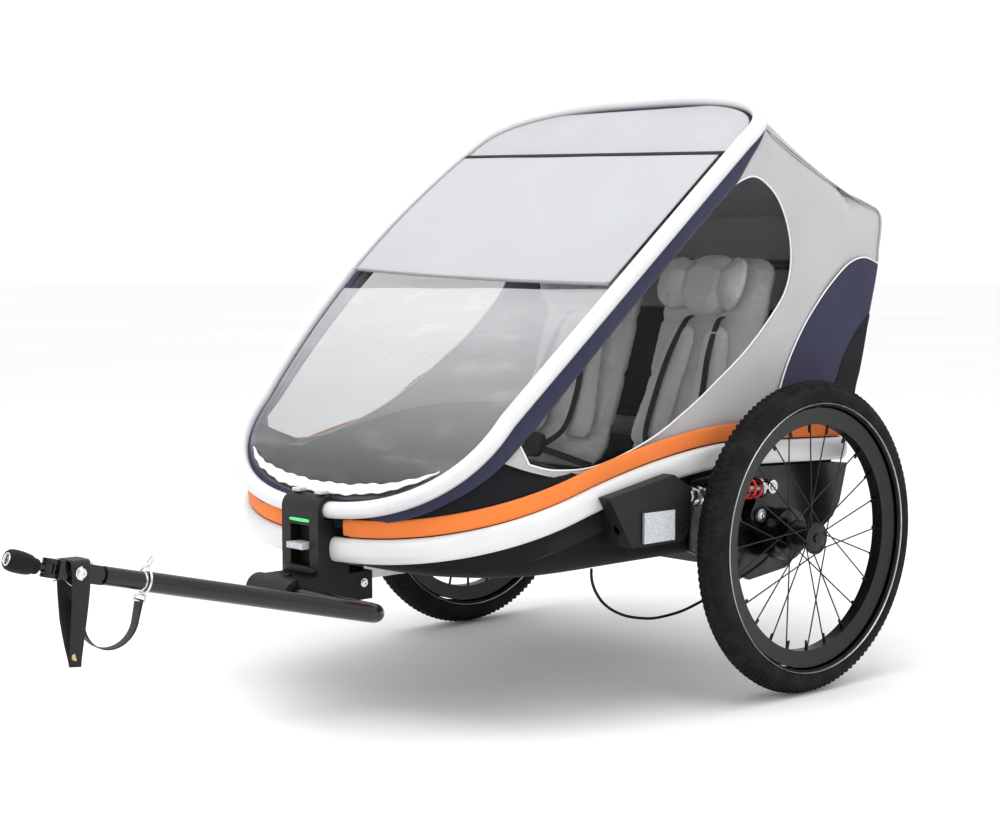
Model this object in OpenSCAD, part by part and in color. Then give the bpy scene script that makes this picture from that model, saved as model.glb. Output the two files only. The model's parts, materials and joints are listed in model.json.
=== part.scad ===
// Two-seat child bicycle trailer with a folding hoop, sprung wheels and a side drawbar.
// Millimetres. The front of the trailer faces -Y, its left side is +X, the ground is z = 0.

/* [Wheels] */
// Radius over the tyre
tyre_r = 253; // [250:1:256]
// Width of the tyre
tyre_w = 50; // [44:1:50]
// Distance between the two wheel planes
track = 830; // [826:2:840]
// Number of spokes in one wheel
spoke_n = 24; // [16:4:28]
// Thickness of a spoke
spoke_d = 2.2; // [1.8:0.1:2.6]

/* [Lower frame] */
// Half width of the lower frame, to the middle of its tube
frame_half_w = 350; // [348:1:352]
// Height of the flat oval tube
frame_tube_h = 38; // [34:1:40]
// Width of the flat oval tube
frame_tube_w = 22; // [20:1:24]

/* [Hoop] */
// Diameter of the hoop tube
hoop_d = 26; // [24:1:28]
// Slope of the hoop above level, in degrees
hoop_slope = 41.5; // [41:0.5:42]
// Length of the hoop along its slope
hoop_len = 975; // [965:5:980]
// Rise of the hoop above a straight line
hoop_rise = 37; // [30:1:40]

/* [Drawbar] */
// Diameter of the drawbar tube
drawbar_d = 27; // [25:1:28]
// Distance of the drawbar from the middle of the trailer
drawbar_x = 250; // [240:5:260]
// Upward slope of the drawbar towards its front, in degrees
drawbar_slope = 13.5; // [12:0.5:14]

/* [Seats] */
// Half width of the seat bench
seat_half_w = 290; // [280:1:292]
// Lean of the seat backs from upright, in degrees
seat_lean = 20; // [18:1:22]
// Length of a seat back
seat_back_len = 440; // [420:5:450]

/* [Hidden] */
$fn = 48;

// The model is laid out from a point on the ground under the axle.
axle_y = 505.8;

// Wheel, measured outward from its own plane
rim_r = 209.5;
rim_hole_r = 183;
rim_half_w = 15;
hub_in = -32;
hub_out = 19;
flange_r = 26;
flange_at = 20;
pin_r = 8;
run_fit = 0.05;

// Lower frame in plan: a rounded front and rear joined by straight sides
front_from = -450;
front_reach = 222;
rear_from = 150;
rear_reach = 75;
front_power = 2.3;
rear_power = 2.6;
crest_y = -110;
crest_z = 391;
front_drop = 129;
rear_fall = 0.037;

// Hoop: foot corners, bowed sides and top corners, along its slope u
hoop_foot_y = -681;
hoop_foot_z = 322;
foot_len = 190;
foot_half_w = 305;
foot_power = 2.3;
bow_half_w = 347;
bow_at = 620;
bow_len = 430;
top_len = 152;
top_power = 2.7;

// Front cover: curved shells that follow the side view of the hoop
cover_end_u = 800;
cover_gap = 20;
cover_t = 3;
shade_end_u = 478;
shell_r = hoop_len * hoop_len / (8 * hoop_rise) + hoop_rise / 2;

// Suspension, in the side view (y, z)
pivot_y = -45;
pivot_z = 286;
eye_y = -31;
shock_z = 333;
shock_x = 360;
arm_x = 336;
arm_t = 14;
lever_pin_r = 4;

// Drawbar, along its own forward direction from the cross tube
cross_y = -740;
cross_z = 198;
bend_r = 34;
tube_end = 404;
sleeve_end = 466;
block_from = 473;
block_to = 535;
yaw_at = 545;
pitch_at = 568;
boot_from = 560;
boot_to = 603;
boot_rest = 6;
block_w = 24;

// Seats
crease_y = -50;
crease_z = 312;
seat_back_t = 35;

// Rear frame
rear_pivot_y = 170;
rear_pivot_z = 400;
rear_half_w = 300;
rear_len = 300;
rear_lean = 17.7;
rear_tube_r = 9;
rear_corner_r = 60;

// Brake cable: route from the floor to the drum, by hand
cable_r = 2.2;
cable_path = [
  [300, -376, 229.6], [299, -375, 218], [298, -371, 205], [298, -363, 190], [299, -350, 174],
  [301, -331, 160], [304, -307, 149], [307, -280, 142], [310, -250, 138], [313, -220, 139],
  [317, -190, 143], [321, -161, 151], [326, -133, 161], [332, -107, 173], [340, -83, 185],
  [349, -61, 197], [357, -43, 210], [361, -34, 219]
];

white = "white";
black = "#1c1c1e";
grey = "#c9ccd2";
silver = "silver";
orange = "#e8743b";
navy = "#3a3b52";

// ---- shared shapes ----

module placed() translate([0, axle_y, 0]) children();

module on_side(s) {
  if (s > 0) children();
  else mirror([1, 0, 0]) children();
}

// A side view outline (y, z) given a thickness from x0 to x1
module side_slab(x0, x1) {
  translate([x0, 0, 0]) rotate([90, 0, 90]) linear_extrude(x1 - x0) children();
}

module x_cyl(x0, x1, y, z, r) {
  translate([x0, y, z]) rotate([0, 90, 0]) cylinder(h = x1 - x0, r = r);
}

module y_cyl(y0, y1, x, z, r) {
  translate([x, y0, z]) rotate([-90, 0, 0]) cylinder(h = y1 - y0, r = r);
}

module block(x0, x1, y0, y1, z0, z1) {
  translate([x0, y0, z0]) cube([x1 - x0, y1 - y0, z1 - z0]);
}

module rod(a, b, r) {
  d = b - a;
  translate(a) rotate([0, acos(d[2] / norm(d)), atan2(d[1], d[0])]) cylinder(h = norm(d), r = r);
}

function unit(v) = v / norm(v);
function ring(c, t, up, a, b, n) =
  let (s = unit(cross(t, up)), u = cross(s, t))
  [for (k = [0:n - 1]) c + a * cos(360 * k / n) * s + b * sin(360 * k / n) * u];
function open_dir(p, i) = unit(p[min(i + 1, len(p) - 1)] - p[max(i - 1, 0)]);
function loop_dir(p, i) = unit(p[(i + 1) % len(p)] - p[(i + len(p) - 1) % len(p)]);
function wall(m, n, last) = [
  for (i = [0:last], k = [0:n - 1])
    let (j = (k + 1) % n, near = i * n, far = (i + 1) % m * n)
    each [[near + k, near + j, far + j], [near + k, far + j, far + k]]
];

// A tube with two ends, a oval of half sizes a (across) and b (towards up)
module open_tube(p, a, b, n, up) {
  m = len(p);
  ends = [[for (k = [n - 1:-1:0]) k], [for (k = [0:n - 1]) (m - 1) * n + k]];
  points = [for (i = [0:m - 1]) each ring(p[i], open_dir(p, i), up, a, b, n)];
  polyhedron(points, concat(wall(m, n, m - 2), ends), convexity = 8);
}

// A tube that closes on itself
module loop_tube(p, a, b, n, up) {
  m = len(p);
  points = [for (i = [0:m - 1]) each ring(p[i], loop_dir(p, i), up, a, b, n)];
  polyhedron(points, wall(m, n, m - 1), convexity = 8);
}

// ---- lower frame ----

// Height of the frame's middle line: it climbs from the nose to a crest before the axle
function frame_z(y) =
  y < crest_y ? crest_z - front_drop * pow((crest_y - y) / 562, 1.7)
  : crest_z - rear_fall * (y - crest_y);
function frame_half(y, w) =
  y < front_from ? w * pow(1 - pow((front_from - y) / front_reach, front_power), 1 / front_power)
  : y > rear_from ? w * pow(1 - pow((y - rear_from) / rear_reach, rear_power), 1 / rear_power)
  : w;
function front_turn(a, w) = [
  w * pow(sin(a), 2 / front_power), front_from - front_reach * pow(cos(a), 2 / front_power)
];
function rear_turn(a, w) = [
  w * pow(cos(a), 2 / rear_power), rear_from + rear_reach * pow(sin(a), 2 / rear_power)
];
// Half of the loop in plan, from the nose along the left side to the tail
function frame_half_plan(w) = concat(
  [for (a = [0:9:90]) front_turn(a, w)],
  [for (y = [-390:60:90]) [w, y]],
  [for (a = [0:15:90]) rear_turn(a, w)]
);
function frame_loop(w, rise) =
  let (h = frame_half_plan(w), n = len(h)) concat(
    [for (q = h) [q[0], q[1], frame_z(q[1]) + rise]],
    [for (i = [n - 2:-1:1]) [-h[i][0], h[i][1], frame_z(h[i][1]) + rise]]
  );

module lower_frame() {
  color(white) placed()
    loop_tube(frame_loop(frame_half_w, 0), frame_tube_w / 2, frame_tube_h / 2, 10, [0, 0, 1]);
}

// The band lies on top of the tube, from beside the tower to the rear corners
module trim_band() {
  w = frame_half_w - 3;
  run = concat(
    [for (a = [9:9:90]) front_turn(a, w)],
    [for (y = [-390:60:90]) [w, y]],
    [for (a = [0, 15]) rear_turn(a, w)]
  );
  path = [for (q = run) [q[0], q[1], frame_z(q[1]) + frame_tube_h / 2 + 15]];
  color(orange) placed() for (s = [1, -1]) on_side(s) open_tube(path, 3, 13, 8, [0, 0, 1]);
}

module spine_beam() {
  color(silver) placed() difference() {
    block(-25, 25, -600, -30, 205, 227);
    block(-22, 22, -601, -29, 208, 224);
  }
}

module axle_beam() {
  color(black) placed() difference() {
    block(-323, 323, -30, 10, 190, 226);
    block(-324, 324, -27, 7, 193, 223);
  }
}

// ---- tower at the nose, with the hoop clamp and the drawbar socket ----

tower_half_w = 46;
clamp_r = 22;
clamp_bore = 15.2;
socket_bore = drawbar_d / 2 + 0.1;
lever_y = -689;
lever_z = 266.5;
lever_pin = 2.4;

module front_tower() {
  color(black) placed() difference() {
    union() {
      block(-tower_half_w, tower_half_w, -703, -645, 222, 322);
      x_cyl(-tower_half_w, tower_half_w, hoop_foot_y, hoop_foot_z, clamp_r);
      block(-tower_half_w, tower_half_w, -740, -600, 178, 222);
      x_cyl(-58, 42, cross_y, cross_z, 24);
    }
    x_cyl(-60, 60, hoop_foot_y, hoop_foot_z, clamp_bore);
    x_cyl(-38, 60, cross_y, cross_z, socket_bore);
    block(-24, 24, -704, -684, 236, 298);
    block(-60, 60, -676, -640, 318, 350);
    x_cyl(-28, 28, lever_y, lever_z, lever_pin + run_fit);
  }
}

module release_lever() {
  color(grey) placed() {
    block(-20, 20, -714, -688, 262, 271);
    x_cyl(-22, 22, lever_y, lever_z, 4.5);
    x_cyl(-27, 27, lever_y, lever_z, lever_pin);
  }
}

// ---- floor ----

// Side view with walls and floor set in by t; the top then rises clear, to leave the tub open
function tub_side(t) = concat(
  [[-650, 230 + t], [150, 230 + t], [203 - t, 300]],
  [for (y = [203 - t, each [130:-70:-640]]) [y, frame_z(y) - frame_tube_h / 2 - 4 + t * 5]],
  [[-650, 260 + t * 5]]
);
function tub_plan(t) = [
  [318 - t, 210], [318 - t, -480], [288 - t, -560], [215 - t, -618 + t], [120, -638 + t],
  [-120, -638 + t], [t - 215, -618 + t], [t - 288, -560], [t - 318, -480], [t - 318, 210]
];
module tub_solid(t) {
  intersection() {
    side_slab(-330, 330) polygon(tub_side(t));
    translate([0, 0, 200]) linear_extrude(250) polygon(tub_plan(t));
  }
}

module floor_tub() {
  color(black) placed() difference() {
    tub_solid(0);
    tub_solid(4);
  }
}

// Side plates carry the swing arms and close the body beside the wheels
module side_plates() {
  outline = [[-190, 355], [-190, 240], [-46, 178], [45, 188], [168, 263], [186, 287], [205, 352], [150, 358], [-60, 366]];
  color(black) placed() for (s = [1, -1]) on_side(s) {
    side_slab(323, 334) polygon(outline);
  }
}

module arm_pivots() {
  color(silver) placed() for (s = [1, -1]) on_side(s) {
    x_cyl(334, 352, pivot_y, pivot_z, pin_r);
    x_cyl(352, 357, pivot_y, pivot_z, 11);
  }
}

// Bracket that covers the front of the shock, with a socket for an accessory arm
bracket_socket_r = 9;

module side_brackets() {
  outer = [[-425, 349], [-285, 374], [-247, 352], [-247, 292], [-262, 270], [-375, 270]];
  inner = [[-395, 325], [-250, 352], [-215, 350], [-215, 300], [-262, 270], [-375, 270]];
  color(black) placed() for (s = [1, -1]) on_side(s) difference() {
    union() {
      side_slab(363, 386) polygon(outer);
      side_slab(335, 363) polygon(inner);
    }
    y_cyl(-440, -340, 365, 298, bracket_socket_r);
    y_cyl(-262, -200, shock_x, shock_z, 12);
  }
}

module reflectors() {
  color(silver) placed() for (s = [1, -1]) on_side(s)
    block(386, 392, -355, -288, 275, 322);
}

module rear_hinge_blocks() {
  color(black) placed() for (s = [1, -1]) on_side(s) {
    block(310, 329, rear_pivot_y - 18, rear_pivot_y + 18, rear_pivot_z - 36, rear_pivot_z + 14);
    x_cyl(290, 310, rear_pivot_y, rear_pivot_z, 5);
  }
}

// ---- hoop and everything that follows its curve ----

function hoop_half(u) =
  u < foot_len ? foot_half_w * pow(1 - pow(1 - u / foot_len, foot_power), 1 / foot_power)
  : bow_half_w - 42 * pow((u - bow_at) / bow_len, 2);
top_from = hoop_len - top_len;
top_half_w = hoop_half(top_from);
// Half outline (x, u) from the middle of the foot up the left side to the middle of the top
function hoop_outline() = concat(
  [for (a = [0:9:81]) [
    foot_half_w * pow(sin(a), 2 / foot_power), foot_len * (1 - pow(cos(a), 2 / foot_power))
  ]],
  [for (u = [foot_len:70:top_from - 30]) [hoop_half(u), u]],
  [for (a = [0:10:90]) [
    top_half_w * pow(cos(a), 2 / top_power), top_from + top_len * pow(sin(a), 2 / top_power)
  ]]
);
// The outline moved inward by g, both sides
function inset_half(g) =
  let (h = hoop_outline(), n = len(h))
  [for (i = [0:n - 1]) let (d = unit(h[min(i + 1, n - 1)] - h[max(i - 1, 0)])) h[i] + g * [-d[1], d[0]]];
function inset_outline(g) =
  let (h = inset_half(g), n = len(h)) concat(h, [for (i = [n - 2:-1:1]) [-h[i][0], h[i][1]]]);
function hoop_off(u) = 4 * hoop_rise * (u / hoop_len) * (1 - u / hoop_len);
// A place at x across, u along the slope and n above it
function on_hoop(x, u, n) = [
  x,
  hoop_foot_y + u * cos(hoop_slope) - n * sin(hoop_slope),
  hoop_foot_z + u * sin(hoop_slope) + n * cos(hoop_slope)
];
function hoop_loop() =
  let (h = hoop_outline(), n = len(h)) concat(
    [for (q = h) on_hoop(q[0], q[1], hoop_off(q[1]))],
    [for (i = [n - 2:-1:1]) on_hoop(-h[i][0], h[i][1], hoop_off(h[i][1]))]
  );

module in_hoop_plane() {
  placed() translate([0, hoop_foot_y, hoop_foot_z]) rotate([hoop_slope, 0, 0]) children();
}

module hoop_tube() {
  up = [0, -sin(hoop_slope), cos(hoop_slope)];
  color(white) placed() loop_tube(hoop_loop(), hoop_d / 2, hoop_d / 2, 10, up);
}

module hoop_clips() {
  color(white) in_hoop_plane() for (x = [-178, 178])
    block(x - 9, x + 9, 946, 955, -20, -13);
}

// A thin shell that follows the hoop's side curve, lifted by n, from u0 to u1 up the slope
module cover_shell(u0, u1, n, t, gap) {
  in_hoop_plane() intersection() {
    translate([0, 0, -20]) linear_extrude(hoop_rise + n + t + 40) intersection() {
      polygon(inset_outline(gap));
      translate([-400, u0]) square([800, u1 - u0]);
    }
    difference() {
      translate([0, hoop_len / 2, hoop_rise - shell_r]) rotate([0, 90, 0])
        cylinder(h = 900, r = shell_r + n + t, center = true, $fn = 720);
      translate([0, hoop_len / 2, hoop_rise - shell_r]) rotate([0, 90, 0])
        cylinder(h = 902, r = shell_r + n, center = true, $fn = 720);
    }
  }
}

module front_roof() {
  color(grey) cover_shell(cover_end_u + 4, 950, -4, cover_t, cover_gap);
}

module front_window() {
  color(grey, 0.5) cover_shell(24, cover_end_u, -4, cover_t, cover_gap);
}

module sunshade() {
  color(grey) cover_shell(shade_end_u + 5, cover_end_u - 4, 4, 2, cover_gap + 6);
}

module shade_hem() {
  color(navy) in_hoop_plane()
    block(-310, 310, shade_end_u - 5, shade_end_u + 4, hoop_rise + 4, hoop_rise + 7);
}

module cover_buckles() {
  color(grey) placed() for (x = [-28, 28])
    block(x - 9, x + 9, -690, -674, 345.5, 351);
}

// ---- fabric body ----

panel_x = 336;
panel_t = 4;
window_outline = [
  [-482, 440], [-470, 397], [-400, 391], [-290, 425], [-200, 469], [-133, 510], [-70, 552],
  [-13, 601], [26, 645], [40, 690], [33, 745], [5, 795], [-50, 826], [-85, 805]
];
function panel_outline() = concat(
  [for (u = [230:85:910]) let (q = on_hoop(0, u, hoop_off(u) - 18)) [q[1], q[2]]],
  [[56, 868], [147, 829], [257, 790], [282, 778], [288, 761], [213, 480], [222, 412]],
  [for (y = [180:-75:-495]) [y, frame_z(y) + 48]]
);

module side_panel(s) {
  color(grey) placed() on_side(s) side_slab(panel_x, panel_x + panel_t) difference() {
    polygon(panel_outline());
    polygon(window_outline);
  }
}

module side_windows() {
  color(black, 0.6) placed() for (s = [1, -1]) on_side(s)
    side_slab(panel_x + 1, panel_x + 3) polygon(window_outline);
}

module rear_panel() {
  color(grey) placed() side_slab(-325, 325)
    polygon([[232, 412], [224, 480], [300, 770], [318, 768], [318, 762], [230, 480], [238, 412]]);
}

module roof_panel() {
  color(grey) placed() side_slab(-318, 318)
    polygon([[76, 930], [80, 934], [260, 822], [318, 775], [312, 772], [256, 818]]);
}

// ---- seats ----

module seat_base() {
  color(grey) placed() difference() {
    block(-seat_half_w, seat_half_w, -330, -70, 235, 300);
    block(-6, 6, -331, -69, 280, 301);
  }
}

module on_seat(s) {
  placed() on_side(s) translate([0, crease_y, crease_z]) rotate([-seat_lean, 0, 0]) children();
}

module seat_back(s) {
  color(grey) on_seat(s) block(12, seat_half_w - 5, 0, seat_back_t, 0, seat_back_len);
}

module headrest(s) {
  color(grey) on_seat(s) translate([148, -22, 355]) rotate([90, 0, 0])
    cylinder(h = 40, r = 62, center = true);
}

module harness(s) {
  color(grey) on_seat(s) for (x = [85, 165])
    block(x, x + 46, -10, -1, 60, 280);
}

// ---- rear frame ----

module rear_frame() {
  color(black) placed() translate([0, rear_pivot_y, rear_pivot_z]) rotate([-rear_lean, 0, 0]) {
    for (s = [1, -1]) on_side(s) {
      difference() {
        x_cyl(290.4, 309.6, 0, 0, 12);
        x_cyl(280, 320, 0, 0, 5 + run_fit);
      }
      translate([rear_half_w, 0, 10]) cylinder(h = rear_len - rear_corner_r - 10, r = rear_tube_r);
      translate([rear_half_w - rear_corner_r, 0, rear_len - rear_corner_r]) rotate([90, 0, 0])
        rotate_extrude(angle = 90) translate([rear_corner_r, 0]) circle(rear_tube_r);
    }
    x_cyl(rear_corner_r - rear_half_w, rear_half_w - rear_corner_r, 0, rear_len, rear_tube_r);
  }
}

// ---- suspension ----

module shock_bodies() {
  color(silver) placed() for (s = [1, -1]) on_side(s) difference() {
    union() {
      y_cyl(-262, -170, shock_x, shock_z, 12);
      y_cyl(-170, -162, shock_x, shock_z, 17);
      y_cyl(-162, -100, shock_x, shock_z, 9);
    }
    y_cyl(-190, -99, shock_x, shock_z, 5 + run_fit);
  }
}

module shock_rod(s) {
  color(silver) placed() on_side(s) difference() {
    union() {
      y_cyl(-150, -60, shock_x, shock_z, 5);
      y_cyl(-64, -58, shock_x, shock_z, 17);
      y_cyl(-58, -36, shock_x, shock_z, 7);
      x_cyl(353, 368, eye_y, shock_z, 11);
    }
    x_cyl(340, 380, eye_y, shock_z, lever_pin_r + 2.6);
  }
}

spring_turns = 6;
spring_from = -158.6;
spring_to = -67;
spring_r = 14.5;
wire_r = 2.6;

module coil_spring(s) {
  steps = spring_turns * 12;
  path = [for (i = [0:steps]) [
    shock_x + spring_r * cos(i * 30),
    spring_from + (spring_to - spring_from) * i / steps,
    shock_z + spring_r * sin(i * 30)
  ]];
  color("firebrick") placed() on_side(s) open_tube(path, wire_r, wire_r, 8, [0, 1, 0]);
}

module swing_arm(s) {
  spread = [[-64, 290], [-40, 333], [-22, 340], [-12, 300], [22, 266], [8, 230], [-14, 234], [-60, 272]];
  color(black) placed() on_side(s) difference() {
    union() {
      side_slab(arm_x, arm_x + arm_t) union() {
        polygon(spread);
        translate([pivot_y, pivot_z]) circle(20);
        translate([0, tyre_r]) circle(24);
        translate([eye_y, shock_z]) circle(11);
      }
      x_cyl(arm_x + arm_t, 369, eye_y, shock_z, lever_pin_r);
    }
    x_cyl(330, 360, pivot_y, pivot_z, pin_r + run_fit);
    x_cyl(330, 360, 0, tyre_r, pin_r);
  }
}

// ---- wheel: drawn about its own axis, which then turns to +X ----

module on_wheel(s) {
  placed() on_side(s) translate([track / 2, 0, tyre_r]) rotate([0, 90, 0]) children();
}

module axle_pin(s) {
  color(silver) on_wheel(s) translate([0, 0, -79]) cylinder(h = 85, r = pin_r);
}

module brake_drum(s) {
  color(black) on_wheel(s) difference() {
    union() {
      translate([0, 0, -62]) cylinder(h = 26, r = 42);
      translate([0, 0, -65]) cylinder(h = 3, r = 20);
    }
    translate([0, 0, -70]) cylinder(h = 40, r = pin_r);
  }
}

module tyre(s) {
  color(black) on_wheel(s) rotate_extrude($fn = 96) difference() {
    translate([tyre_r - tyre_w / 2, 0]) circle(tyre_w / 2);
    translate([tyre_r - tyre_w / 2, 0]) circle(tyre_w / 2 - 4);
    translate([tyre_r - tyre_w - 10, -tyre_w]) square([rim_r - tyre_r + tyre_w + 10, 2 * tyre_w]);
  }
}

module rim(s) {
  half = rim_half_w;
  color(black) on_wheel(s) rotate_extrude($fn = 96) difference() {
    polygon([[rim_hole_r, -10], [rim_r, -half], [rim_r, half], [rim_hole_r, 10]]);
    polygon([[rim_hole_r + 3, -7], [rim_r - 6, 3 - half], [rim_r - 6, half - 3], [rim_hole_r + 3, 7]]);
    translate([rim_r - 8, -10]) square([20, 20]);
  }
}

module spokes(s) {
  color(black) on_wheel(s) for (i = [0:spoke_n - 1]) {
    side = i % 2 == 0 ? 1 : -1;
    lean = floor(i / 2) % 2 == 0 ? 1 : -1;
    a = 360 * i / spoke_n;
    b = a + lean * 52;
    // spokes that lean one way leave the flange outside those that lean the other way
    start = [(flange_r - 3) * cos(b), (flange_r - 3) * sin(b), side * (flange_at + 0.5 + 2 * lean)];
    rod(start, [(rim_hole_r + 1) * cos(a), (rim_hole_r + 1) * sin(a), side * 2], spoke_d / 2);
  }
}

module hub(s) {
  color(black) on_wheel(s) difference() {
    union() {
      translate([0, 0, hub_in]) cylinder(h = hub_out - hub_in, r = 15);
      for (z = [-flange_at - 3, flange_at - 6]) translate([0, 0, z]) cylinder(h = 5, r = flange_r);
      translate([0, 0, hub_out - 4]) cylinder(h = 4, r = 21);
    }
    translate([0, 0, hub_in - 1]) cylinder(h = 60, r = pin_r + run_fit);
  }
}

module hub_button(s) {
  color(black) on_wheel(s) translate([0, 0, 11]) cylinder(h = 11, r = 7.6);
}

module brake_cable() {
  color(black) placed() open_tube(cable_path, cable_r, cable_r, 8, [1, 0, 0]);
}

// ---- drawbar and hitch, drawn forward along -Y and then sloped up ----

module on_drawbar() {
  placed() translate([0, cross_y, cross_z]) rotate([-drawbar_slope, 0, 0]) children();
}

module drawbar_tube() {
  color(black) on_drawbar() {
    x_cyl(-33, drawbar_x - bend_r, 0, 0, drawbar_d / 2);
    translate([drawbar_x - bend_r, -bend_r, 0])
      rotate_extrude(angle = 90) translate([bend_r, 0]) circle(drawbar_d / 2);
    y_cyl(-tube_end, -bend_r, drawbar_x, 0, drawbar_d / 2);
    y_cyl(-sleeve_end, -tube_end, drawbar_x, 0, 12.2);
    y_cyl(-block_from, -sleeve_end, drawbar_x, 0, 9);
  }
}

module hitch_block() {
  half = block_w / 2;
  color(black) on_drawbar() translate([drawbar_x, 0, 0]) {
    difference() {
      block(-half, half, -block_to, -block_from, -half, half);
      translate([0, -490, -20]) cylinder(h = 40, r = 3 + run_fit);
    }
    for (z = [-half, half - 5]) translate([0, 0, z]) {
      translate([0, -yaw_at, 0]) cylinder(h = 5, r = 8);
      block(-8, 8, -yaw_at, -block_to, 0, 5);
    }
    translate([0, -yaw_at, -half]) cylinder(h = block_w, r = 3);
    x_cyl(half, half + 3, -513, 0, 8);
  }
}

module hitch_pin() {
  color(silver) on_drawbar() translate([drawbar_x, -490, 0]) {
    translate([0, 0, -17]) cylinder(h = 31, r = 3);
    translate([0, 0, 12.3]) cylinder(h = 3, r = 5.5);
  }
}

module hitch_neck() {
  color(black) on_drawbar() translate([drawbar_x, 0, 0]) difference() {
    union() {
      translate([0, -yaw_at, -6.5]) cylinder(h = 13, r = 8);
      y_cyl(-pitch_at, -yaw_at - 6, 0, 0, 5);
      x_cyl(-6, 6, -pitch_at, 0, 6);
    }
    translate([0, -yaw_at, -10]) cylinder(h = 20, r = 3 + run_fit);
    x_cyl(-10, 10, -pitch_at, 0, 2.5 + run_fit);
  }
}

module on_boot() {
  on_drawbar() translate([drawbar_x, -pitch_at, 0]) rotate([-boot_rest, 0, 0]) children();
}

module hitch_boot() {
  color(black) on_boot() {
    difference() {
      y_cyl(pitch_at - boot_to, pitch_at - boot_from, 0, 0, 13);
      y_cyl(-12, 20, 0, 0, 11);
      y_cyl(-50, pitch_at - boot_to + 18, 0, 0, 6);
    }
    x_cyl(-12, 12, 0, 0, 2.5);
  }
}

// The loose run of the strap, in the drawbar's side view
loop_y = -446;
loop_z = -52;
loop_r = 41;

module safety_strap() {
  half = block_w / 2;
  color(black) on_drawbar() translate([drawbar_x, 0, 0]) {
    // the doubled strap that hangs straight down over the block
    translate([0, -509.5, 0]) rotate([drawbar_slope, 0, 0]) translate([0, 12.5, 0])
      rotate([90, 0, 0]) linear_extrude(25) difference() {
      polygon([
        [-half - 3, half + 3], [half + 6, half + 3], [half + 6, -20],
        [4, -112], [4, -122], [-4, -122], [-4, -112], [-half - 3, -20]
      ]);
      polygon([
        [-half - 1, half + 1], [half + 4, half + 1], [half + 4, -19],
        [0.5, -110], [-0.5, -110], [-half - 1, -19]
      ]);
    }
    // the loose run back to the ring
    side_slab(-11, 11) {
      difference() {
        translate([loop_y, loop_z]) circle(loop_r);
        translate([loop_y, loop_z]) circle(loop_r - 2);
        translate([loop_y - 60, loop_z]) square([120, 60]);
      }
      translate([loop_y + loop_r - 2, loop_z]) square([2, -20 - loop_z]);
    }
    // the ring round the tube
    translate([0, -(tube_end - 2), 0]) rotate([90, 0, 0]) rotate_extrude()
      translate([17, 0]) circle(2);
  }
}

lower_frame();
spine_beam();
axle_beam();
front_tower();
release_lever();
floor_tub();
side_plates();
arm_pivots();
side_brackets();
reflectors();
rear_hinge_blocks();
trim_band();
side_panel(1);  // side_panel_l
side_panel(-1);  // side_panel_r
side_windows();
rear_panel();
roof_panel();
seat_base();
seat_back(1);  // seat_back_l
seat_back(-1);  // seat_back_r
headrest(1);  // headrest_l
headrest(-1);  // headrest_r
harness(1);  // harness_l
harness(-1);  // harness_r
hoop_tube();
hoop_clips();
front_roof();
front_window();
cover_buckles();
sunshade();
shade_hem();
rear_frame();
shock_bodies();
shock_rod(1);  // shock_rod_l
shock_rod(-1);  // shock_rod_r
coil_spring(1);  // coil_spring_l
coil_spring(-1);  // coil_spring_r
swing_arm(1);  // swing_arm_l
swing_arm(-1);  // swing_arm_r
axle_pin(1);  // axle_pin_l
axle_pin(-1);  // axle_pin_r
brake_drum(1);  // brake_drum_l
brake_drum(-1);  // brake_drum_r
tyre(1);  // tyre_l
tyre(-1);  // tyre_r
rim(1);  // rim_l
rim(-1);  // rim_r
spokes(1);  // spokes_l
spokes(-1);  // spokes_r
hub(1);  // hub_l
hub(-1);  // hub_r
hub_button(1);  // hub_button_l
hub_button(-1);  // hub_button_r
brake_cable();
drawbar_tube();
hitch_block();
hitch_pin();
hitch_neck();
hitch_boot();
safety_strap();
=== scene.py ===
import json
import math
import bmesh
import bpy
import numpy as np
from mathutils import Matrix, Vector

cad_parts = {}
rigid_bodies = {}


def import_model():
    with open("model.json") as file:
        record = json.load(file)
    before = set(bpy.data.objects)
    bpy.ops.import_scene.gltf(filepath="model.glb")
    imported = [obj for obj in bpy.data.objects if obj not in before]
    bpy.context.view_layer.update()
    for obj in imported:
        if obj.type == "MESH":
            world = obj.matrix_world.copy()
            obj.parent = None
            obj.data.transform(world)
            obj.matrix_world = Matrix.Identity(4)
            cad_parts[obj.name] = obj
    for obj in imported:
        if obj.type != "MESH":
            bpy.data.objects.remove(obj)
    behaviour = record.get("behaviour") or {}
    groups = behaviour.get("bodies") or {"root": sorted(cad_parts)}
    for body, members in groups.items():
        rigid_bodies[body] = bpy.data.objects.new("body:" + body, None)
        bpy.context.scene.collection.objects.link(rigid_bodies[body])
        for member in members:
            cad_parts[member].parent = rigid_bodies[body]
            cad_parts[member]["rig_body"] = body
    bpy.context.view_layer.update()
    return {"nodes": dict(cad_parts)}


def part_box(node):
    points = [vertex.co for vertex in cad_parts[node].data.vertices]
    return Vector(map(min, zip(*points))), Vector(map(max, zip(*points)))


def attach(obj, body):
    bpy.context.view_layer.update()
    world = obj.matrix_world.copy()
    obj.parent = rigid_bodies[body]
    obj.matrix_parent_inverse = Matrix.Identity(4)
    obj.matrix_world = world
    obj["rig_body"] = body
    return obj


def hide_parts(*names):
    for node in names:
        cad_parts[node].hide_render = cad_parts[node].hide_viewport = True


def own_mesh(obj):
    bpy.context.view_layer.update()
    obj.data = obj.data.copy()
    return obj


# A two-seat child bicycle trailer: white hoop and frame, grey fabric body, orange band, black drawbar.
# Shapes are worked out in millimetres from the ground under the axle, then placed in the frame in metres.

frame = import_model()
nodes = frame["nodes"]
tyreLow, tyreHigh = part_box("tyre_l")
axleY = (tyreLow.y + tyreHigh.y) / 2
print("frame loaded, axle at y", round(axleY, 4))

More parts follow.
